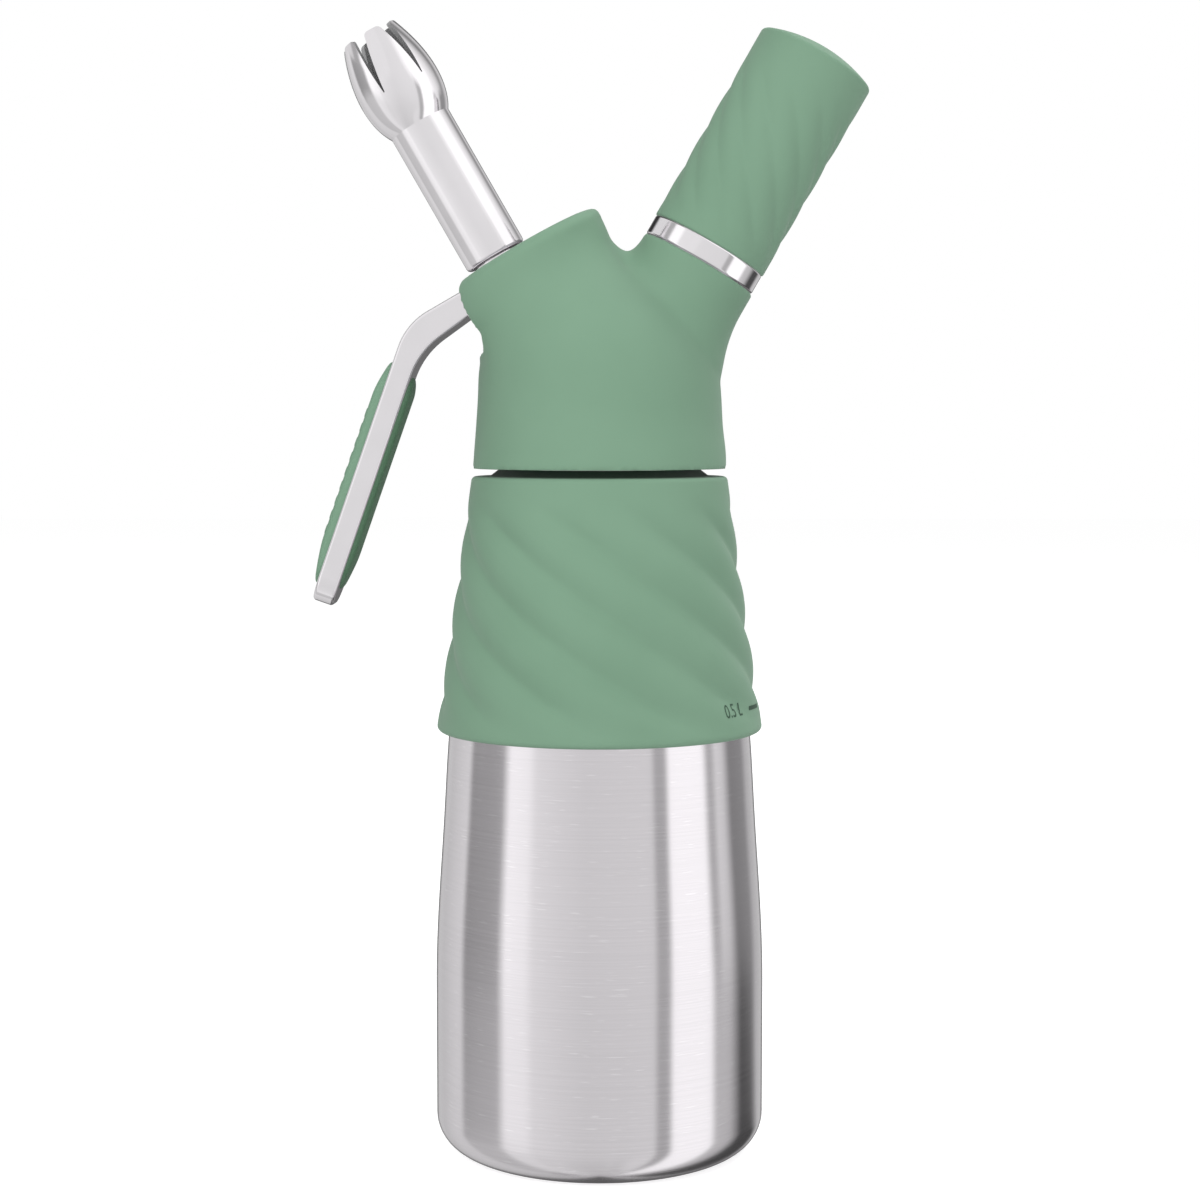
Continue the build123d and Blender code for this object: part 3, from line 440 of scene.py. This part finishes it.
def rubberMaterial(name, values):
    # faintly dusty
    material, tree, shader = newMaterial(name)
    place = addNode(tree, "ShaderNodeTexCoord").outputs["Object"]
    dust = addNode(tree, "ShaderNodeTexNoise", Vector=place, Scale=700.0, Detail=4.0)
    colour = rampNode(tree, dust.outputs["Fac"], [(0.4, values["colour"]), (0.75, values["paler"])])
    tree.links.new(colour, shader.inputs["Base Color"])
    setRoughness(tree, shader, dust.outputs["Fac"], values["roughness"], 0.1)
    setBump(tree, shader, dust.outputs["Fac"], 0.04)
    return material


greenSilicone = siliconeMaterial("greenSilicone", greenLook)
brushedSteel = brushedMaterial("brushedSteel", brushedLook)
polishedSteel = metalMaterial("polishedSteel", polishedLook)
tipSteelPaintedShade = tipMaterial("tipSteelPaintedShade", polishedLook, insidePaintedShadeLook)
satinSteel = metalMaterial("satinSteel", satinLook)
castAluminium = metalMaterial("castAluminium", castLook)
porousSteel = metalMaterial("porousSteel", porousLook)
blackRubber = rubberMaterial("blackRubber", blackRubberLook)
clearRubber = rubberMaterial("clearRubber", clearRubberLook)

# The sleeve's lip lies in the dark gap under the head; its near black-green colour there is a painted shade
lipPaintedShade = {"colour": (0.006, 0.030, 0.012), "height": 0.16655, "blend": 0.0003}
sleevePaintedShadeSilicone = paintedShadeMaterial("sleevePaintedShadeSilicone", greenLook, lipPaintedShade, (0, 0, 1), lipPaintedShade["height"])

finishes = {
    brushedSteel: ["bottle"],
    tipSteelPaintedShade: ["decorator_tip"],
    polishedSteel: ["lever", "charger_holder", "nozzle_adapter"],
    satinSteel: [
        "lever_pin", "valve_stem", "valve_spring", "stem_collar", "stem_clip", "piercing_pin", "charger",
    ],
    castAluminium: ["head_body"],
    porousSteel: ["gas_filter"],
    greenSilicone: ["head_cover", "holder_grip", "lever_pad"],
    sleevePaintedShadeSilicone: ["bottle_sleeve"],
    blackRubber: ["valve_seal", "stem_lower_ring", "stem_upper_ring", "tip_seal", "charger_seal"],
    clearRubber: ["head_gasket", "check_valve"],
}
for material, names in finishes.items():
    for name in names:
        nodes[name].data.materials.clear()
        nodes[name].data.materials.append(material)
print("materials set on", sum(len(names) for names in finishes.values()), "nodes")


# Shape helpers; outlines are in millimetres
def eased(value, start, end):
    share = min(max((value - start) / (end - start), 0), 1)
    return share * share * (3 - 2 * share)


def hump(value, middle, width):
    return math.exp(-(((value - middle) / width) ** 2))


def arcPoints(centre, radius, start, end, steps):
    points = []
    for step in range(steps + 1):
        angle = math.radians(start + (end - start) * step / steps)
        points.append((centre[0] + radius * math.cos(angle), centre[1] + radius * math.sin(angle)))
    return points


def wallPoints(bottom, top, steps):
    return [
        (bottom[0] + (top[0] - bottom[0]) * step / steps, bottom[1] + (top[1] - bottom[1]) * step / steps)
        for step in range(steps + 1)
    ]


def closedRing(bm, points):
    # a closed outline of (radius, height) points, standing on the X axis
    ring = [bm.verts.new((radius * mm, 0, height * mm)) for radius, height in points]
    return ring + [bm.edges.new((ring[i - 1], ring[i])) for i in range(len(ring))]


def spunMesh(points, steps):
    # turns an outline round Z
    bm = bmesh.new()
    ring = closedRing(bm, points)
    bmesh.ops.spin(bm, geom=ring, cent=(0, 0, 0), axis=(0, 0, 1), angle=math.tau, steps=steps, use_merge=True)
    bmesh.ops.remove_doubles(bm, verts=bm.verts, dist=weld)
    loose = [edge for edge in bm.edges if not edge.link_faces]
    bmesh.ops.delete(bm, geom=loose, context="EDGES")
    bmesh.ops.recalc_face_normals(bm, faces=bm.faces)
    return bm


def mergedCopy(name):
    # a solid's mesh is loose triangles, so a copy of it has its corners merged, without the stored normals
    # that fit only the loose ones
    mesh = nodes[name].data.copy()
    stored = mesh.attributes.get("custom_normal")
    if stored:
        mesh.attributes.remove(stored)
    bm = bmesh.new()
    bm.from_mesh(mesh)
    bpy.data.meshes.remove(mesh)
    bmesh.ops.remove_doubles(bm, verts=bm.verts, dist=solidWeld)
    return bm


def joinInto(target, source):
    mesh = bpy.data.meshes.new("part")
    source.to_mesh(mesh)
    source.free()
    target.from_mesh(mesh)
    bpy.data.meshes.remove(mesh)


def twistRibs(bm, values):
    # presses valleys into the outer wall, between convex ribs that twist round Z
    pitch = values["lead"] / values["count"]
    for vert in bm.verts:
        radius = math.hypot(vert.co.x, vert.co.y)
        height = vert.co.z / mm
        if radius / mm < values["inside"] - values["narrowing"] * (height - values["foot"]):
            continue
        turned = math.degrees(math.atan2(vert.co.x, -vert.co.y))
        phase = (height - values["valleyHeight"] + values["lead"] * turned / 360) / pitch
        bulge = math.sqrt(math.sin(math.pi * phase) ** 2 + values["softness"] ** 2)
        fade = eased(height, *values["fadeIn"]) * (1 - eased(height, *values["fadeOut"]))
        depth = values["depth"] * fade * max(1 - bulge, 0)
        vert.co.x *= 1 - depth * mm / radius
        vert.co.y *= 1 - depth * mm / radius


# Piece helpers
def dressPiece(piece, material, slot, body, replaced):
    scene.collection.objects.link(piece)
    piece.data.materials.clear()
    piece.data.materials.append(material)
    piece.visible_glossy = slot != "green_silicone"  # keeps green out of the metal's mirror images
    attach(piece, body)
    if replaced:
        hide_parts(replaced)
    print(piece.name, "made with", len(piece.data.polygons), "faces")
    return piece


def finishPiece(bm, name, material, slot, body, replaced, place=None, sharp=35):
    if place:
        bmesh.ops.transform(bm, matrix=place, verts=bm.verts)
    mesh = bpy.data.meshes.new(name)
    bm.to_mesh(mesh)
    bm.free()
    mesh.shade_smooth()
    mesh.set_sharp_from_angle(angle=math.radians(sharp))
    return dressPiece(bpy.data.objects.new(name, mesh), material, slot, body, replaced)


# Bottle and sleeve. The bottle's wall under the sleeve is given as parts of the sleeve's height, each with
# the sleeve's thickness there.
sleeve = {
    "foot": (40.0, 104.3), "top": (31.5, 166.7), "edge": 1.2, "topInset": 1.26, "lip": (26.9, 166.7),
    "neck": (24.6, 168.45),
    "inside": [(24.62, 166.9), (28.3, 157.0), (32.5, 138.0), (36.7, 109.0), (37.15, 104.3)],
    "rows": 96, "steps": 360,
    "ribs": {
        "count": 10, "lead": 146, "valleyHeight": 120.9, "depth": 1.62, "softness": 0.19,
        "fadeIn": (105.5, 115.0), "fadeOut": (150.0, 164.0),
        "inside": 38.2, "narrowing": 0.137, "foot": 104.3,  # only the wall outside this cone is ribbed
    },
}
bottle = {
    "radius": 40.5, "corner": 9.0, "straightTop": 42.0, "flank": (38.3, 85.0),
    "underSleeve": [(0.075, 2.76), (0.54, 3.0), (0.845, 4.6)],
    "neck": 24.5, "neckFoot": 167.0, "rim": 185.0, "wall": 0.8, "neckWall": 1.6, "rows": 16, "steps": 256,
    "thread": {
        "depth": 1.3, "width": 2.4, "bury": 0.6, "pitch": 5.0, "turns": 1.25, "start": 172.6, "steps": 100,
    },
}


def sleevePoint(part, wall):
    (footRadius, footHeight), (topRadius, topHeight) = sleeve["foot"], sleeve["top"]
    return (footRadius + part * (topRadius - footRadius) - wall, footHeight + part * (topHeight - footHeight))


def drawnCurve(knots, rows):
    # a smooth wall through the knots, upright at both ends
    slopes = [0.0]
    for before, after in zip(knots, knots[2:]):
        slopes.append((after[0] - before[0]) / (after[1] - before[1]))
    slopes.append(0.0)
    points = []
    for (low, high), (lowSlope, highSlope) in zip(zip(knots, knots[1:]), zip(slopes, slopes[1:])):
        rise = high[1] - low[1]
        for row in range(rows):
            t = row / rows
            radius = (
                (2 * t**3 - 3 * t**2 + 1) * low[0] + (t**3 - 2 * t**2 + t) * rise * lowSlope
                + (3 * t**2 - 2 * t**3) * high[0] + (t**3 - t**2) * rise * highSlope
            )
            points.append((radius, low[1] + t * rise))
    return points + [knots[-1]]


def bottleWall(inset, neckInset):
    middle = (bottle["radius"] - bottle["corner"], bottle["corner"])
    corner = arcPoints(middle, bottle["corner"] - inset, -90, 0, 14)
    knots = [(bottle["radius"], bottle["straightTop"]), bottle["flank"]]
    knots += [sleevePoint(part, wall) for part, wall in bottle["underSleeve"]]
    knots.append((bottle["neck"], bottle["neckFoot"]))
    drawn = [(radius - inset, height) for radius, height in drawnCurve(knots, bottle["rows"])]
    drawn[-1] = (bottle["neck"] - neckInset, bottle["neckFoot"])
    side = wallPoints(corner[-1], drawn[0], 8)[1:-1]
    return [(0, inset)] + corner + side + drawn + [(bottle["neck"] - neckInset, bottle["rim"])]


def threadInto(bm, values, radius):
    # one rib that climbs round the neck, narrower at its crest
    rib = bmesh.new()
    foot, crest = values["width"] / 2, values["width"] / 4
    section = [(-values["bury"], -foot), (0, -foot), (values["depth"], -crest)]
    section += [(out, -up) for out, up in reversed(section)]
    ring = closedRing(rib, [(radius + out, values["start"] + up) for out, up in section])
    climb = values["pitch"] * values["turns"] * mm / values["steps"]
    bmesh.ops.spin(
        rib, geom=ring, cent=(0, 0, 0), axis=(0, 0, 1), dvec=(0, 0, climb), angle=math.tau * values["turns"],
        steps=values["steps"],
    )
    bmesh.ops.holes_fill(rib, edges=rib.edges, sides=0)
    bmesh.ops.recalc_face_normals(rib, faces=rib.faces)
    joinInto(bm, rib)


def bottleSkin():
    inner = bottleWall(bottle["wall"], bottle["neckWall"])
    bm = spunMesh(bottleWall(0, 0) + inner[::-1], bottle["steps"])
    threadInto(bm, bottle["thread"], bottle["neck"])
    finishPiece(bm, "bottleSkin", brushedSteel, "polished_steel", "bottle", "bottle")


def sleeveOutline():
    (footRadius, footHeight), (topRadius, topHeight) = sleeve["foot"], sleeve["top"]
    edge = sleeve["edge"]
    lean = math.degrees(math.atan2(footRadius - topRadius, topHeight - footHeight))
    footArc = arcPoints((footRadius - edge, footHeight + edge), edge, -90, lean, 5)
    topArc = arcPoints((topRadius - sleeve["topInset"], topHeight - edge), edge, lean, 90, 6)
    wall = wallPoints(footArc[-1], topArc[0], sleeve["rows"])[1:-1]
    return footArc + wall + topArc + [sleeve["lip"], sleeve["neck"]] + sleeve["inside"]


def sleeveSkin():
    # gives back the sleeve's surface, for the mark to lie on
    bm = spunMesh(sleeveOutline(), sleeve["steps"])
    twistRibs(bm, sleeve["ribs"])
    surface = BVHTree.FromBMesh(bm)
    finishPiece(bm, "sleeveSkin", sleevePaintedShadeSilicone, "green_silicone", "bottle", "bottle_sleeve", sharp=50)
    return surface


bottleSkin()
sleeveSurface = sleeveSkin()


# Capacity mark: a generic volume with a tick beside it
mark = {
    "words": "0.5 L", "size": 4.4, "turn": 56.0, "height": 109.9, "rise": 0.06, "bold": 0.02, "reach": 60.0,
    "tick": {"start": 8.2, "length": 7.0, "middle": 1.2, "width": 1.0},
    "ink": {"colour": (0.030, 0.075, 0.045), "paler": (0.040, 0.092, 0.056), "roughness": 0.5},
}


def markMesh():
    letters = bpy.data.curves.new("letters", "FONT")
    letters.body = mark["words"]
    letters.size = mark["size"]
    letters.offset = mark["bold"]
    letters.align_x = "CENTER"
    words = bpy.data.objects.new("letters", letters)
    scene.collection.objects.link(words)
    mesh = bpy.data.meshes.new_from_object(words.evaluated_get(bpy.context.evaluated_depsgraph_get()))
    bpy.data.objects.remove(words)
    bm = bmesh.new()
    bm.from_mesh(mesh)
    bpy.data.meshes.remove(mesh)
    tick = mark["tick"]
    line = bmesh.ops.create_grid(bm, x_segments=8, y_segments=1, size=0.5)["verts"]
    bmesh.ops.scale(bm, vec=(tick["length"], tick["width"], 1), verts=line)
    bmesh.ops.translate(bm, vec=(tick["start"] + tick["length"] / 2, tick["middle"], 0), verts=line)
    return bm


def capacityMark(surface):
    # drops each point from outside straight onto the sleeve, just proud of it
    bm = markMesh()
    for vert in bm.verts:
        turned = math.radians(mark["turn"]) + vert.co.x / sleeve["foot"][0]
        outward = Vector((math.sin(turned), -math.cos(turned), 0))
        start = outward * mark["reach"] * mm + Vector((0, 0, (mark["height"] + vert.co.y) * mm))
        hit = surface.ray_cast(start, -outward)[0]
        vert.co = hit + outward * mark["rise"] * mm
    ink = rubberMaterial("darkInk", mark["ink"])
    finishPiece(bm, "capacityMark", ink, "green_silicone", "bottle", None)


capacityMark(sleeveSurface)


# Holder grip, upright here and then placed on the charger's axis
grip = {
    "radius": 15.05, "foot": 53.45, "rim": 105.0, "dome": 3.2, "edge": 1.1, "footEdge": 0.4,
    "insideRadius": 12.7, "insideTop": 105.1, "rows": 90, "steps": 240,
    "ribs": {
        "count": 11, "lead": 120, "valleyHeight": 70.4, "depth": 0.55, "softness": 0.12,
        "fadeIn": (54.5, 63.0), "fadeOut": (88.0, 100.0),
        "inside": 14.2, "narrowing": 0.0, "foot": 53.45,
    },
}


def gripOutline():
    radius, edge, footEdge = grip["radius"], grip["edge"], grip["footEdge"]
    domeRadius = (radius**2 + grip["dome"] ** 2) / (2 * grip["dome"])
    domeCentre = grip["rim"] + grip["dome"] - domeRadius
    rimAngle = math.degrees(math.asin((radius - edge) / (domeRadius - edge)))
    rimHeight = domeCentre + (domeRadius - edge) * math.cos(math.radians(rimAngle))
    footArc = arcPoints((radius - footEdge, grip["foot"] + footEdge), footEdge, -90, 0, 3)
    rimArc = arcPoints((radius - edge, rimHeight), edge, 0, 90 - rimAngle, 8)
    domeArc = arcPoints((0, domeCentre), domeRadius, 90 - rimAngle, 90, 14)
    wall = wallPoints(footArc[-1], rimArc[0], grip["rows"])[1:-1]
    inner, top = grip["insideRadius"], grip["insideTop"]
    return footArc + wall + rimArc + domeArc[1:] + [(0, top), (inner, top), (inner, grip["foot"])]


def gripSkin():
    bm = spunMesh(gripOutline(), grip["steps"])
    twistRibs(bm, grip["ribs"])
    finishPiece(
        bm, "gripSkin", greenSilicone, "green_silicone", "holder", "holder_grip", place=chargerFrame, sharp=50
    )


gripSkin()


# Head cover. The crossings on the front and the back are smoothed away; the outline, rims and lever's mouth
# are kept. Beside the lever the boss is flat, between two rounded corners (angles seen from its middle).
cover = {
    "voxel": 0.6,
    "soft": {
        "rounds": 60, "factor": 0.5, "lowest": 186.0, "faceLevel": 45.0, "left": -16.0, "front": 9.0,
        "fade": 6.0,
    },
    "leverFlat": {
        "middle": 7.05, "radius": 20.45, "reach": 18.9, "levels": (31.0, 46.0), "corner": 28.4, "end": 66.0,
        "inner": 6.0, "roundFrom": 44.0, "round": 0.045, "roundSide": (8.0, 16.0),
    },
    "peak": {"across": 26.8, "level": 48.2, "push": 0.32, "width": 1.7, "front": (8.0, 14.0)},
    "peakWall": {"level": 43.2, "push": 0.5, "width": 3.4, "side": (16.0, 24.0)},
    "notch": {
        "across": 7.0, "height": 219.1, "depth": 1.25, "width": 2.9, "front": (6.0, 14.0), "below": 8.0,
    },
    "slotLip": {"side": (26.0, 29.6), "height": 195.3, "width": 3.4, "push": 0.9},
}


def softShare(point):
    soft = cover["soft"]
    fade, faceLevel = soft["fade"], soft["faceLevel"]
    up = eased(point.z / mm, soft["lowest"], soft["lowest"] + fade)
    bossSide = 1 - eased((intoNozzle @ point).z / mm, faceLevel - fade, faceLevel)
    armSide = 1 - eased((intoCharger @ point).z / mm, faceLevel - fade, faceLevel)
    side = eased(point.x / mm, soft["left"], soft["left"] + fade)
    front = eased(abs(point.y) / mm, soft["front"], soft["front"] + fade)
    return up * bossSide * armSide * side * front


def flattenedBoss(across, depth, level):
    # the boss's side under the lever, drawn in to a flat that rounds off towards its top
    flat = cover["leverFlat"]
    offset = across - flat["middle"]
    turned = math.degrees(math.atan2(abs(depth), -offset))
    share = eased(level, *flat["levels"]) * eased(-offset, 0, flat["inner"])
    leftShare = 1 - eased(turned, flat["corner"], flat["end"])
    onFlat = math.cos(math.radians(min(turned, flat["corner"])))
    stretch = (flat["reach"] / flat["radius"] / onFlat - 1) * leftShare * share
    rounding = flat["round"] * max(level - flat["roundFrom"], 0) ** 2
    across = flat["middle"] + offset * (1 + stretch)
    across += rounding * leftShare * eased(-offset, *flat["roundSide"])
    return across, depth * (1 + stretch)


def coverForm(point):
    peak, wall, notch, lip = (cover[part] for part in ("peak", "peakWall", "notch", "slotLip"))
    across, depth, level = (value / mm for value in intoNozzle @ point)
    across, depth = flattenedBoss(across, depth, level)
    # the boss's upper corner is sharper, and the wall under it fuller
    middle = 1 - eased(abs(depth), *peak["front"])
    corner = hump(across, peak["across"], peak["width"]) * hump(level, peak["level"], peak["width"])
    push = peak["push"] * corner * middle
    fuller = hump(level, wall["level"], wall["width"]) * eased(across, *wall["side"]) * middle
    across += wall["push"] * fuller + push
    place = nozzleFrame @ Vector((across * mm, depth * mm, (level + push) * mm))
    # the notch between the boss and the arm is a tight V
    beside = hump(place.x / mm, notch["across"], notch["width"])
    above = eased(place.z / mm, notch["height"] - notch["below"], notch["height"])
    place.z -= notch["depth"] * beside * above * (1 - eased(abs(depth), *notch["front"])) * mm
    # the lip under the lever's slot is drawn in
    beyond = eased(-place.x / mm, *lip["side"])
    place.x += lip["push"] * beyond * hump(place.z / mm, lip["height"], lip["width"]) * mm
    return place


def coverSkin():
    bm = mergedCopy("head_cover")
    solid = bpy.data.meshes.new("solidCover")
    bm.to_mesh(solid)
    bm.free()
    skin = bpy.data.objects.new("coverSkin", solid)
    scene.collection.objects.link(skin)
    remesh = skin.modifiers.new("evenFaces", "REMESH")
    remesh.mode = "VOXEL"
    remesh.voxel_size = cover["voxel"] * mm
    remesh.use_smooth_shade = True
    bpy.context.view_layer.update()
    mesh = bpy.data.meshes.new_from_object(skin.evaluated_get(bpy.context.evaluated_depsgraph_get()))
    skin.modifiers.clear()
    scene.collection.objects.unlink(skin)
    skin.data = mesh
    bpy.data.meshes.remove(solid)
    group = skin.vertex_groups.new(name="soft")
    for vert in mesh.vertices:
        group.add([vert.index], softShare(vert.co), "REPLACE")
        vert.co = coverForm(vert.co)
    smooth = skin.modifiers.new("soften", "SMOOTH")
    smooth.factor = cover["soft"]["factor"]
    smooth.iterations = cover["soft"]["rounds"]
    smooth.vertex_group = "soft"
    dressPiece(skin, greenSilicone, "green_silicone", "head", "head_cover")


coverSkin()


# Lever pad. X runs down the lever from its outer corner, Y across it and Z away from its outer face.
pad = {
    "corner": (-26.85, 46.75), "bend": 40.6, "thickness": 5.25,
    "cushions": {
        "outer": {
            "start": 9.8, "length": 57.0, "width": 16.6, "rise": 2.5, "root": 0.0, "corner": 6.0,
            "edge": 1.5, "crown": 0.35, "startSlope": 9.0, "endSlope": 12.0, "slopeDrop": 0.55, "side": 1,
        },
        "inner": {
            "start": 11.8, "length": 54.6, "width": 16.4, "rise": 1.6, "root": 5.25, "corner": 6.0,
            "edge": 1.4, "crown": 0.4, "startSlope": 5.0, "endSlope": 9.0, "slopeDrop": 0.6, "side": -1,
        },
    },
    "cuts": {"along": 48, "across": 12, "onPlane": 0.000001},
    "bars": {
        "first": 23.5, "pitch": 3.75, "count": 9, "length": 2.6, "width": 9.0, "rise": 0.16, "depth": 1.5,
        "corner": 1.1, "edge": 0.3,
    },
    "window": {"start": 18.05, "length": 35.9, "width": 6.9, "edge": 0.01},
    "look": {**greenLook, "specular": 0.12, "sheen": 0.03},
    # the inner cushion's face is a darker green, a painted shade for the side turned towards the bottle
    "shade": {"colour": (0.115, 0.215, 0.135), "blend": 0.0002, "margin": 0.3},
}
leverFrame = (
    nozzleFrame
    @ Matrix.Translation((pad["corner"][0] * mm, 0, pad["corner"][1] * mm))
    @ Matrix.Rotation(math.radians(-pad["bend"]), 4, "Y")
    @ Matrix.Rotation(math.pi, 4, "Z")
)


def roundedBlock(length, width, height, corner, edge):
    # block with rounded upright corners and a rounded upper rim, standing on Z = 0
    bm = bmesh.new()
    bmesh.ops.create_cube(bm, size=1)
    bmesh.ops.scale(bm, vec=(length * mm, width * mm, height * mm), verts=bm.verts)
    bmesh.ops.translate(bm, vec=(0, 0, height * mm / 2), verts=bm.verts)
    upright = [e for e in bm.edges if abs(e.verts[0].co.z - e.verts[1].co.z) > height * mm / 2]
    bmesh.ops.bevel(
        bm, geom=upright, offset=corner * mm, segments=10, profile=0.5, affect="EDGES", material=-1
    )
    top = max(v.co.z for v in bm.verts)
    rim = [e for e in bm.edges if all(abs(v.co.z - top) < weld for v in e.verts)]
    bmesh.ops.bevel(bm, geom=rim, offset=edge * mm, segments=6, profile=0.5, affect="EDGES", material=-1)
    return bm


def cutEvenly(bm, size, count, direction):
    # parallel cuts give the faces enough points to curve
    for number in range(1, count):
        place = Vector(direction) * ((number / count - 0.5) * size * mm)
        geom = bm.verts[:] + bm.edges[:] + bm.faces[:]
        bmesh.ops.bisect_plane(bm, geom=geom, plane_co=place, plane_no=direction, dist=pad["cuts"]["onPlane"])


def cushionMesh(values):
    # crowned across the lever and sloped down at both ends
    length, width, rise = values["length"], values["width"], values["rise"]
    bm = roundedBlock(length, width, rise, values["corner"], values["edge"])
    cutEvenly(bm, length, pad["cuts"]["along"], (1, 0, 0))
    cutEvenly(bm, width, pad["cuts"]["across"], (0, 1, 0))
    for vert in bm.verts:
        along = vert.co.x / mm + length / 2
        across = vert.co.y / mm / (width / 2)
        endShare = 1 - eased(along, length - values["endSlope"], length + 1)
        full = 1 - values["slopeDrop"] * (1 - eased(along, -1, values["startSlope"]) * endShare)
        vert.co.z *= full * (1 - values["crown"] * across * across / rise)
    bmesh.ops.translate(bm, vec=((values["start"] + length / 2) * mm, 0, 0), verts=bm.verts)
    if values["side"] < 0:
        bmesh.ops.scale(bm, vec=(1, 1, -1), verts=bm.verts)
        bmesh.ops.reverse_faces(bm, faces=bm.faces)
    bmesh.ops.translate(bm, vec=(0, 0, -values["root"] * mm), verts=bm.verts)
    return bm


def windowWeb():
    # joins the two cushions through the window in the lever
    window, thickness = pad["window"], pad["thickness"]
    corner = window["width"] / 2 - window["edge"]
    web = roundedBlock(window["length"], window["width"], thickness, corner, window["edge"])
    offset = ((window["start"] + window["length"] / 2) * mm, 0, -thickness * mm)
    bmesh.ops.translate(web, vec=offset, verts=web.verts)
    return web


def gripBar(number):
    bars = pad["bars"]
    bar = roundedBlock(bars["length"], bars["width"], bars["depth"], bars["corner"], bars["edge"])
    along = bars["first"] + number * bars["pitch"]
    foot = pad["cushions"]["outer"]["rise"] + bars["rise"] - bars["depth"]
    bmesh.ops.translate(bar, vec=(along * mm, 0, foot * mm), verts=bar.verts)
    return bar


def padCushions():
    bm = bmesh.new()
    for values in pad["cushions"].values():
        joinInto(bm, cushionMesh(values))
    joinInto(bm, windowWeb())
    for number in range(pad["bars"]["count"]):
        joinInto(bm, gripBar(number))
    # past the margin the inner face gets the painted shade
    shade = pad["shade"]
    inward = -(leverFrame.to_3x3() @ Vector((0, 0, 1)))
    innerFace = leverFrame.translation.dot(inward) + (pad["thickness"] - shade["margin"]) * mm
    padPaintedShadeSilicone = paintedShadeMaterial("padPaintedShadeSilicone", pad["look"], shade, inward, innerFace)
    finishPiece(bm, "padCushions", padPaintedShadeSilicone, "green_silicone", "lever", "lever_pad", leverFrame)


padCushions()


def springCoil():
    # a merged copy of the valve spring, with a mesh of its own
    bm = mergedCopy("valve_spring")
    coil = finishPiece(bm, "springCoil", satinSteel, "satin_steel", "head", "valve_spring")
    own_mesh(coil)


springCoil()


print("pieces done")
